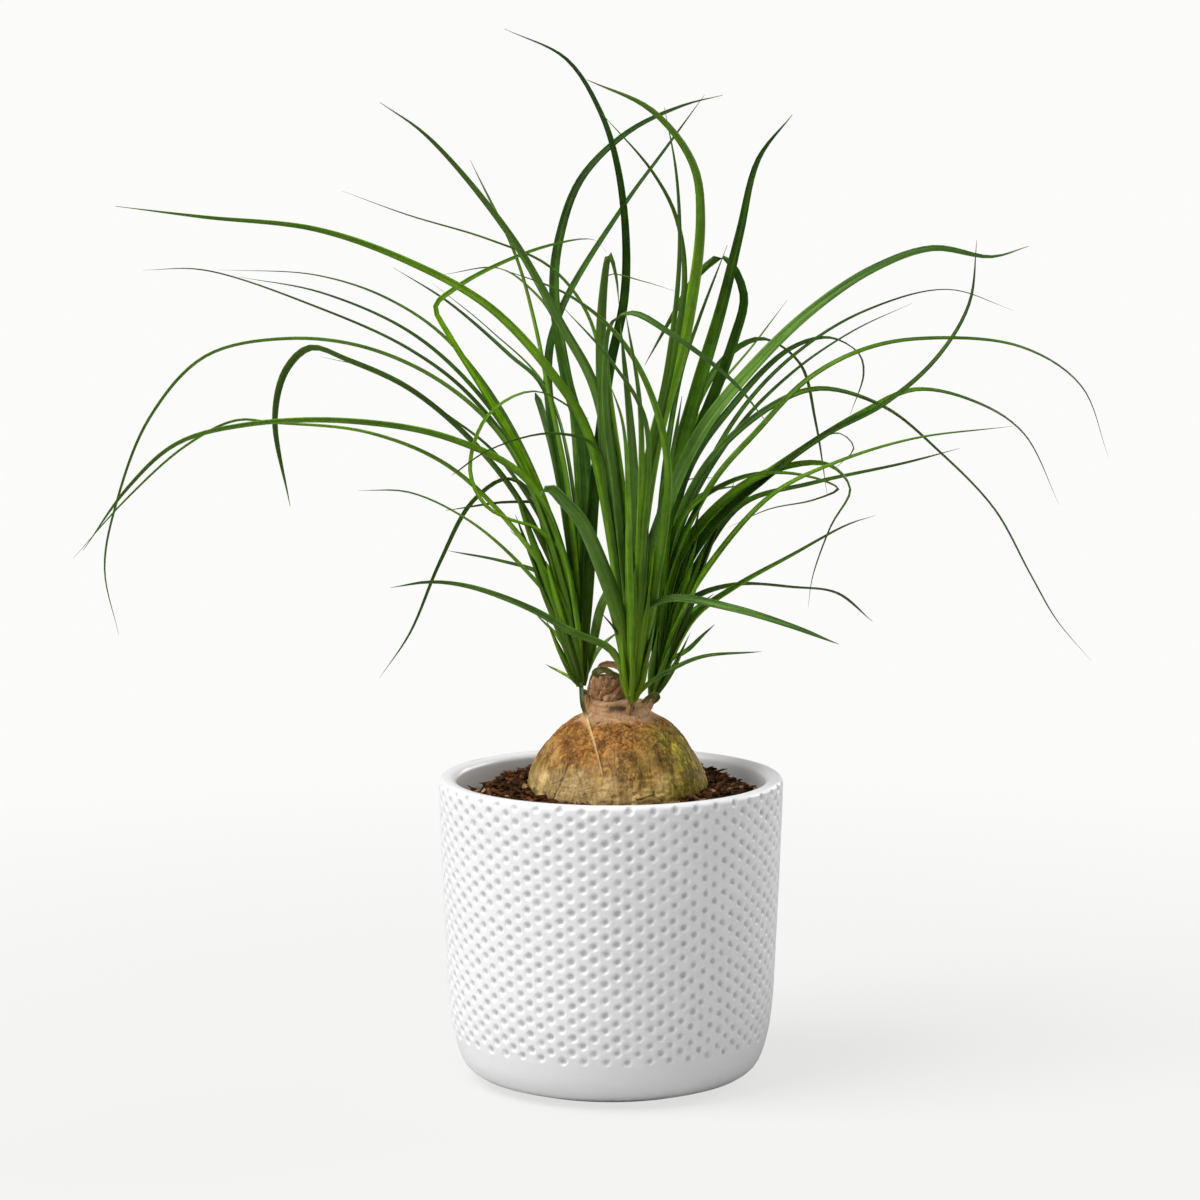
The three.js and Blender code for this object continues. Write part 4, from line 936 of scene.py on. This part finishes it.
def leaf_course(crown, depth, seen):
    """The leaf's midline, the share of each point in its length, and its heading over the ground."""
    foot = np.array(crown["foot"], dtype=float)
    steps = np.diff([[foot[0], foot[2]]] + seen, axis=0)
    travelled = np.cumsum(np.hypot(steps[:, 0], steps[:, 1]))
    depths = foot[1] + (depth - foot[1]) * (travelled / travelled[-1]) ** DEPTH_POWER
    outer = [on_sight_line(place, y) for place, y in zip(seen, depths)]
    heading = (outer[-1] - foot) * [1, 1, 0]
    heading /= np.linalg.norm(heading)
    root = crown_axes(crown["lean"]) @ (heading * ROOT_SHARE * crown["core"] + [0, 0, ROOT_HEIGHT]) + foot
    course, shares = smooth_course([root] + outer, LEAF_SPACING)
    return course, shares, heading


# %% [markdown]
# A blade is a strap with a fold along its middle: deep at the base, where it clasps the crown, and almost
# flat further out. It is half a millimetre to a little over one millimetre thick, widest in its lower third,
# and drawn out to a fine tip. Each section is a closed loop of sixteen points, nine on its upper side.

# %% One blade
TOP_POINTS = np.linspace(-1, 1, 9)
UNDER_POINTS = np.linspace(0.78, -0.78, 7)
ACROSS = np.concatenate([TOP_POINTS, UNDER_POINTS])
IS_UNDER = np.concatenate([np.zeros(9), np.ones(7)])
LEAF_THICKNESS = [1.15, 0.45]
FOLD_ANGLES = [[0, 62], [0.06, 44], [0.15, 27], [0.5, 17], [1, 6]]
TIP_TAPER = 0.1
BLUNT_TAPER = 0.025


def blade(course, shares, widths, turns, heading, folds=FOLD_ANGLES):
    """Points of one blade, row by row. turns is the turn of its flat side at each point, in degrees."""
    ahead = np.gradient(course, axis=0)
    ahead /= np.linalg.norm(ahead, axis=1)[:, None]
    level = np.array([heading[1], -heading[0], 0.0])
    across = level - (ahead @ level)[:, None] * ahead
    across /= np.linalg.norm(across, axis=1)[:, None]
    turn = np.radians(turns)[:, None]
    across = across * np.cos(turn) + np.cross(ahead, across) * np.sin(turn)
    upward = np.cross(across, ahead)
    fold = np.radians(np.interp(shares, *np.transpose(folds)))[:, None]
    thick = np.interp(shares, [0, 1], LEAF_THICKNESS)[:, None]
    half = widths[:, None] / 2
    aside = ACROSS * half * np.cos(fold)
    rise = np.abs(ACROSS) ** 1.35 * half * np.sin(fold) - 0.25 * half * np.sin(fold)
    rise = rise - IS_UNDER * np.minimum(thick, 0.5 * half) * np.sqrt(1 - 0.9 * ACROSS**2)
    return course[:, None, :] + aside[:, :, None] * across[:, None, :] + rise[:, :, None] * upward[:, None, :]


def blade_faces(sections, start):
    """The blade's skin and its two ends."""
    loop = len(ACROSS)
    skin = (np.array(ring_faces(sections, loop)) + start).tolist()
    return skin + [list(range(start, start + loop)),
                   list(range(start + (sections - 1) * loop, start + sections * loop))[::-1]]


class Foliage:
    """Gathers blades into one mesh, with what its material needs to know at each point."""

    def __init__(self):
        self.points, self.faces, self.place, self.kind = [], [], [], []
        self.count = 0

    def add(self, course, shares, widths, turns, heading, tone, bluish, shaded=0.0, folds=FOLD_ANGLES):
        """One more blade. tone runs from light (0) to dark (1), and so does shaded, a painted shade at its
        base.
        """
        points = blade(course, shares, widths, turns, heading, folds)
        self.faces += blade_faces(len(course), self.count)
        share, across = np.meshgrid(shares, ACROSS, indexing="ij")
        self.points.append(points.reshape(-1, 3))
        self.place.append(np.stack([share.ravel(), across.ravel(), np.tile(IS_UNDER, len(course))], -1))
        self.kind.append(np.tile([tone, bluish, shaded], (share.size, 1)))
        self.count += share.size

    def finish(self, name, node, finish, slot_name):
        """Makes one piece of all the blades."""
        values = {"leaf_place": np.concatenate(self.place), "leaf_kind": np.concatenate(self.kind)}
        make_piece(node, slot_name, name, np.concatenate(self.points), self.faces, finish, values)


# %% [markdown]
# The leaves' green changes along them: at the base bright yellow-green, darkened by a painted shade as deep
# as the crown's shade, a full green in the middle, darker and duller towards the tip, which is dry at its
# end.
# Light and dark streaks, partly the leaf's own and partly painted light and shade, and fine veins run all the
# way, the blade is lighter in the middle, and a painted sheen lightens its edges. Its underside is paler.
# Some leaves are bluish or greyish. A little light comes through them.

# %% The leaves' finish
leaf = Finish("leaf_green", 0.45, specular=0.1, subsurface=0.15)
share, across, under = leaf.carried_parts("leaf_place")
tone, bluish, shaded = leaf.carried_parts("leaf_kind")
fresh = leaf.mottle((0.23, 0.48, 0.006), (0.07, 0.19, 0.001), 20.0, 150.0, 0.5, 0.3)
deep = leaf.mottle((0.045, 0.125, 0.002), (0.006, 0.028, 0.001), 26.0, 150.0, 0.5, 0.3)
blue = leaf.mottle((0.095, 0.18, 0.05), (0.05, 0.12, 0.024), 26.0, 150.0, 0.5, 0.3)
# At the base, bright yellow-green darkened by a painted shade, as far as the crown is shaded.
base_colour_and_shade = leaf.mix(shaded, (0.20, 0.34, 0.003), (0.008, 0.028, 0.0005))
colour = leaf.layers(
    fresh, (leaf.range(tone, 0.15, 0.85), deep), (bluish, blue),
    (leaf.range(share, 0.0, 0.24, 0.85, 0.0), base_colour_and_shade),
    (leaf.range(share, 0.5, 1.0, 0.0, 0.8), (0.016, 0.045, 0.005)),
    (leaf.range(share, 0.97, 1.0), (0.16, 0.12, 0.05)))
veins = leaf.math("SINE", leaf.math("MULTIPLY", across, 34.0))
off_middle = leaf.math("ABSOLUTE", across)
along = leaf.add("CombineXYZ", {"X": across, "Y": leaf.math("MULTIPLY", share, 3.0),
                                "Z": leaf.math("MULTIPLY", tone, 30.0)})
# The blade is lighter in the middle, with fine veins. Its edges are lightened, a painted sheen, and streaks
# along it are partly its own and partly painted light and shade.
shading = leaf.range(off_middle, 0.0, 0.75, 1.16, 0.92)
for part in (leaf.math("MULTIPLY", veins, 0.09), leaf.range(off_middle, 0.88, 1.0, 0.0, 0.18),
             leaf.range(leaf.noise(along, 2.2, 2.0), 0.3, 0.7, -0.38, 0.4)):
    shading = leaf.math("ADD", shading, part)
toned = leaf.add("HueSaturation", {"Color": colour, "Value": shading})
under_share = leaf.math("MULTIPLY", under, 0.3)
leaf.feed("Base Color", leaf.mix(under_share, toned, (0.13, 0.23, 0.03)))
leaf.feed("Roughness", leaf.range(fresh.node.outputs["Mask"], 0.0, 1.0, 0.34, 0.5))
leaf.bump(veins, 0.35, 0.0003)

# %% [markdown]
# A crown has its traced leaves, a few short upright ones in its heart, which hide the growing point, and
# short torn sheaths round its foot. Each leaf gets a twist and a tone by chance, and a painted shade at its
# base from its crown and by chance. Leaves that stand further back get a darker tone, a painted shade. The
# broad ones that come towards the viewer are bluer and lighter, and those with a broad blunt end are greyish.

# %% The crowns
TAPER = 0.86
TAPER_POWER = 1.7
BASE_NARROWING = 0.5
BASE_REACH = 22
TWIST = 26
NEAR_DEPTH = -40
BROAD_WIDTH = 8
GREY_END = 4
HEART_LEAVES = 9
HEART_LEAF_LENGTH = [55, 120]
SHEATHS = 7
SHEATH_LENGTH = [18, 48]
SHEATH_FOLDS = [[0, 66], [0.4, 40], [1, 15]]
SHORT_LEAF_WIDTH = 8.5
WHOLE_LEAF = 300


def tapered(widths, shares, length):
    """A blade's width along it: narrow where it leaves the crown and widest a little higher. widths is its
    one width, which runs out to a fine tip, or its width and that of its blunt end."""
    width, tip = widths if isinstance(widths, list) else (widths, widths * (1 - TAPER))
    along = width - (width - tip) * shares**TAPER_POWER
    along *= 1 - BASE_NARROWING * bell(shares * length, 0, BASE_REACH)
    taper = TIP_TAPER if tip < 0.2 * width else BLUNT_TAPER
    return np.maximum(0.3, along * np.sqrt(np.clip((1 - shares) / taper, 0.02, 1)))


def add_traced_leaf(foliage, crown, traced, random):
    """One leaf that was followed on the plant."""
    width, turn, depth, *seen = traced
    course, shares, heading = leaf_course(crown, depth, seen)
    twist = TWIST * random.uniform(-1, 1) * shares
    is_near = depth <= NEAR_DEPTH and np.max(width) >= BROAD_WIDTH
    is_grey = isinstance(width, list) and width[1] >= GREY_END
    bluish = 0.75 if is_near or is_grey else 0.3 * random.random() ** 3
    # Leaves that stand further behind the pot's middle are darker, a painted shade; the rest of the tone is
    # by chance.
    tone = 0.2 * random.random() if is_near else min(1, random.random() ** 1.1 + max(0, depth) / 500)
    shaded = np.clip(crown["shade"] + 0.5 * random.random(), 0, 1)
    length = np.linalg.norm(np.diff(course, axis=0), axis=1).sum()
    green_shares = shares * (0.5 if is_grey else 1)
    widths = tapered(width, shares, length)
    foliage.add(course, green_shares, widths, turn + twist, heading, tone, bluish, shaded)


def add_short_leaf(foliage, crown, angle, length, spreads, heights, thin_out, random):
    """A young leaf or a sheath. spreads and heights say how it rises, in radii of the core and in mm. It is
    coloured and folded like the base of a whole leaf."""
    foot, axes = np.array(crown["foot"], dtype=float), crown_axes(crown["lean"])
    out = np.array([math.cos(angle), math.sin(angle), 0])
    places = [axes @ (out * spread * crown["core"] + [0, 0, height]) + foot
              for spread, height in zip(spreads, heights)]
    course, shares = smooth_course(places, 3.0)
    heading = axes @ out * [1, 1, 0]
    heading /= np.linalg.norm(heading)
    widths = tapered(SHORT_LEAF_WIDTH, shares, length)
    if thin_out:
        widths = widths * np.sqrt(np.clip(1.7 * (1 - shares), 0.02, 1))
    reach = length / WHOLE_LEAF
    foliage.add(course, shares * reach, widths, np.zeros(len(shares)), heading, random.random(), 0.0,
                np.clip(crown["shade"] + 0.6 * random.random(), 0, 1),
                folds=[[share * reach, fold] for share, fold in SHEATH_FOLDS])


def grow_crown(name, crown, seed):
    """One crown: its traced leaves, the young leaves in its heart and the short sheaths round its foot."""
    random = np.random.default_rng(seed)
    foliage = Foliage()
    for traced in crown["leaves"]:
        add_traced_leaf(foliage, crown, traced, random)
    for index in range(HEART_LEAVES):
        angle = 2 * math.pi * (index + 0.5 * random.random()) / HEART_LEAVES
        length = random.uniform(*HEART_LEAF_LENGTH)
        heights = (4, 0.45 * length, length)
        add_short_leaf(foliage, crown, angle, length, (0.2, 0.7, 1.4), heights, False, random)
    for index in range(HEART_LEAVES, HEART_LEAVES + SHEATHS):
        angle = 2 * math.pi * (index + 0.5 * random.random()) / SHEATHS
        length = random.uniform(*SHEATH_LENGTH)
        spreads = (0.12, 0.95, 1.35 + 0.7 * random.random())
        heights = (crown["low"], 0.36 * length, length)
        add_short_leaf(foliage, crown, angle, length, spreads, heights, True, random)
    foliage.finish(name + "_leaves", name, leaf, "leaf")


for index, (name, crown) in enumerate(CROWNS.items()):
    grow_crown(name, crown, 81 + index)
    foot = np.array(crown["foot"], dtype=float)
    bottom = foot * [COLLAR_INSET, COLLAR_INSET, 0] + [0, 0, COLLAR_BOTTOM]
    rise = np.linalg.norm(foot - bottom)
    axes = crown_axes(foot - bottom)
    outline = [[radius * crown["core"], share * rise] for radius, share in COLLAR_SHARES]
    turned_lump(name + "_collar", outline, 0.3, 90 + index, lambda points: points @ axes.T + bottom, 0.35)

# %% [markdown]
# One leaf of the left crown has died. It hangs over the neck and lies down the front of the caudex, still
# green where it starts and straw-coloured from there on.

# %% The withered leaf
WITHERED_SEEN = [[-14.9, 198], [-14.3, 189.3], [-13.1, 185], [-12, 180.6], [-10.6, 175.6], [-8.9, 170.2],
                 [-7.4, 164.6], [-5.8, 158.6], [-4.6, 153.2]]
WITHERED_DEPTHS = [-3.5, -8.5]
WITHERED_WIDTH = 2.4
WITHERED_RISE = 1.3


def on_caudex(seen):
    """The point just above the caudex's front that the viewpoint sees at [x, z]."""
    place = on_sight_line(seen, 0)
    for _ in range(6):
        radius = caudex_radius(place[2]) + WITHERED_RISE
        place = on_sight_line(seen, -math.sqrt(max(radius**2 - (place[0] - CAUDEX_X) ** 2, 0)))
    return place


straw = Finish("dry_straw", 0.6)
dry = straw.mottle((0.74, 0.50, 0.22), (0.42, 0.24, 0.08), 150.0, 700.0, 0.5, 0.3)
dried = straw.range(straw.carried_parts("leaf_place")["X"], 0.12, 0.42)
straw.feed("Base Color", straw.mix(dried, (0.045, 0.09, 0.012), dry))
straw.grain(900.0, 0.4, 0.4, 0.0004)

hanging = [on_sight_line(seen, depth) for seen, depth in zip(WITHERED_SEEN, WITHERED_DEPTHS)]
lying = [on_caudex(seen) for seen in WITHERED_SEEN[len(WITHERED_DEPTHS):]]
course, shares = smooth_course(hanging + lying, 1.6)
withered = Foliage()
widths = WITHERED_WIDTH * (1 - 0.6 * shares**2)
withered.add(course, shares, widths, 18 * np.sin(5 * shares), np.array([0.15, -0.99, 0]),
             0.5, 0.0, folds=[[0, 20], [1, 35]])
withered.finish("withered_leaf_dry", "withered_leaf", straw, "straw")

# %% [markdown]
# The stub is wrapped in the scraps of old leaf bases: broad papery scales that lie close to it and cross each
# other, with pale torn edges. The last one is torn open at the top: a green band hangs across its front, a
# dark one stands behind, and smaller scraps stick out beside them and under the crowns. All are blades too,
# but broad and short.

# %% The papery scales' finish
paper = Finish("papery_scale", 0.55, specular=0.12)
share, across, _ = paper.carried_parts("leaf_place")
greenness = paper.carried_parts("leaf_kind")["Y"]
brown = paper.mottle((0.50, 0.26, 0.12), (0.24, 0.10, 0.035), 200.0, 900.0, 0.5, 0.4)
moss = paper.mottle((0.16, 0.19, 0.03), (0.05, 0.055, 0.01), 200.0, 900.0, 0.5, 0.4)
sway = paper.math("MULTIPLY", brown.node.outputs["Mask"], 3.0)
fibres = paper.math("SINE", paper.math("ADD", paper.math("MULTIPLY", across, 19.0), sway))
edge = paper.math("MAXIMUM", paper.range(paper.math("ABSOLUTE", across), 0.84, 1.0, 0.0, 0.6),
                  paper.range(share, 0.9, 1.0, 0.0, 0.7))
paper.feed("Base Color", paper.layers(
    brown, (greenness, moss), (paper.range(fibres, -0.2, 1.0, 0.0, 0.55), (0.09, 0.04, 0.02)),
    (edge, (0.66, 0.52, 0.36))))
paper.grain(900.0, 0.3, 0.5, 0.0004, paper.stretch(paper.place, (1, 1, 0.2)))

# %% The scales round the stub
# Each scale: where its foot stands round the stub in degrees, how high, its width and length, how far it
# leans sideways over that length, how far it stands off, and how green it is. In front two sets cross.
SCALES = [[276, 193.5, 7, 10, -8, 0.2, 0], [262, 194, 6.5, 9.5, 7.5, 0.7, 0], [292, 194.5, 5, 9, -7, 0.5, 0],
          [250, 192.5, 4.5, 9.5, 6.5, 1.0, 0.2], [268, 198, 3.6, 5.5, 0.5, 1.0, 0],
          [282, 192.5, 3.2, 8.5, 7, 1.4, 0], [232, 193, 7, 9, -3, 0.3, 0], [215, 192.5, 8, 9.5, 4, 0.4, 0.3],
          [322, 193, 8, 9.5, 5, 0.4, 0], [5, 193, 8, 9, -5, 0.3, 0], [45, 193, 8, 10, 6, 0.4, 0.2],
          [90, 193, 8, 9.5, -5, 0.3, 0], [135, 193, 8, 10, 5, 0.5, 0.2], [175, 193, 8, 9, -4, 0.3, 0]]
SCALE_BEND = [[0.0, -0.6], [0.38, 0.35], [0.75, 0.1], [1.0, -0.1]]
STUB_RADIUS = 8.3
random = np.random.default_rng(77)
scales = Foliage()


def stub_way(turn, slant):
    """The level direction from the stub's axis at a turn in degrees, moved on by a slant in mm."""
    angle = math.radians(turn) + slant / STUB_RADIUS
    return np.array([math.cos(angle), math.sin(angle), 0])


for turn, low, width, length, slant, off, greenness in SCALES:
    places = []
    for share, bend in SCALE_BEND:
        stand = STUB_RADIUS + bend + off - 1.2 * share**2
        places.append(STUB_MIDDLE + stub_way(turn, slant * share) * stand + [0, 0, low + share * length])
    course, shares = smooth_course(places, 0.6)
    ragged = 1 + 0.08 * random.standard_normal(len(shares))
    widths = width * np.sin(np.clip(0.75 + 2.1 * shares, 0, math.pi - 0.25)) * ragged
    scales.add(course, shares, widths, np.zeros(len(shares)), stub_way(turn, slant / 2), random.random(),
               greenness, folds=[[0, 24], [1, 30]])

# %% The torn sheath on the stub
# Each scrap: its width, the turn of its flat side, how green it is, and its points in mm.
SCRAPS = [[3.4, 70, 1.0, [-8.6, -1, 203.2], [-8.0, -3.4, 205.8], [-4.8, -4.6, 207.2], [-1.2, -5, 206],
           [2.4, -4.6, 203.8], [5.4, -3.2, 202.6]],
          [3.6, 70, 0.1, [-7.2, 2, 204.2], [-4.6, 3.6, 207.6], [-1, 4.2, 208.4], [2.6, 3.6, 207.4],
           [5.6, 2, 204.6]],
          [1.6, 80, 0.3, [-6.6, 1, 203.8], [-2.4, 0.6, 205.4], [1.6, 0.4, 204.6], [4.6, 0.2, 203.4]],
          [3.4, 75, 1.0, [-6.2, -3.6, 203], [-7.4, -4.2, 205], [-8.8, -4.4, 206.8]],
          [1.8, 70, 0.8, [-14.8, -0.5, 199.6], [-14.6, -2.4, 196.6], [-12.6, -3.6, 194.8],
           [-10.2, -4, 194.6]],
          [3.0, 65, 1.0, [15.4, -6.5, 190.6], [18.6, -4.5, 192.8], [22.4, -0.5, 193.6], [23.2, 3, 191.2],
           [20.2, 1, 188.8]]]
ACROSS_VIEW = np.array([1.0, 0.0, 0.0])
for width, turn, greenness, *places in SCRAPS:
    course, shares = smooth_course(places, 0.6)
    ragged = 1 + 0.06 * random.standard_normal(len(shares))
    widths = width * np.sqrt(np.sin(np.clip(0.35 + 2.6 * shares, 0, math.pi - 0.2))) * ragged
    scales.add(course, shares, widths, np.full(len(shares), float(turn)), ACROSS_VIEW, 0.1, greenness,
               folds=[[0, 30], [1, 20]])
scales.finish("stub_scales", None, paper, "bark")

# %% [markdown]
# At the left, where the bark meets the mix, a small green bud has begun to swell. It is a lump of the same
# bark, only greener.

# %% The bud at the foot
BUD_PLACE = np.array([-41.2, -11.5, 146.5])
turned_lump("foot_bud", [[0, -3], [2.6, -2.4], [2.9, 0], [1.9, 2.6], [0.8, 4.4], [0, 5]], 0.35, 95,
            lambda points: points @ crown_axes([-0.45, -0.2, 0.9]).T + BUD_PLACE, 0.9)
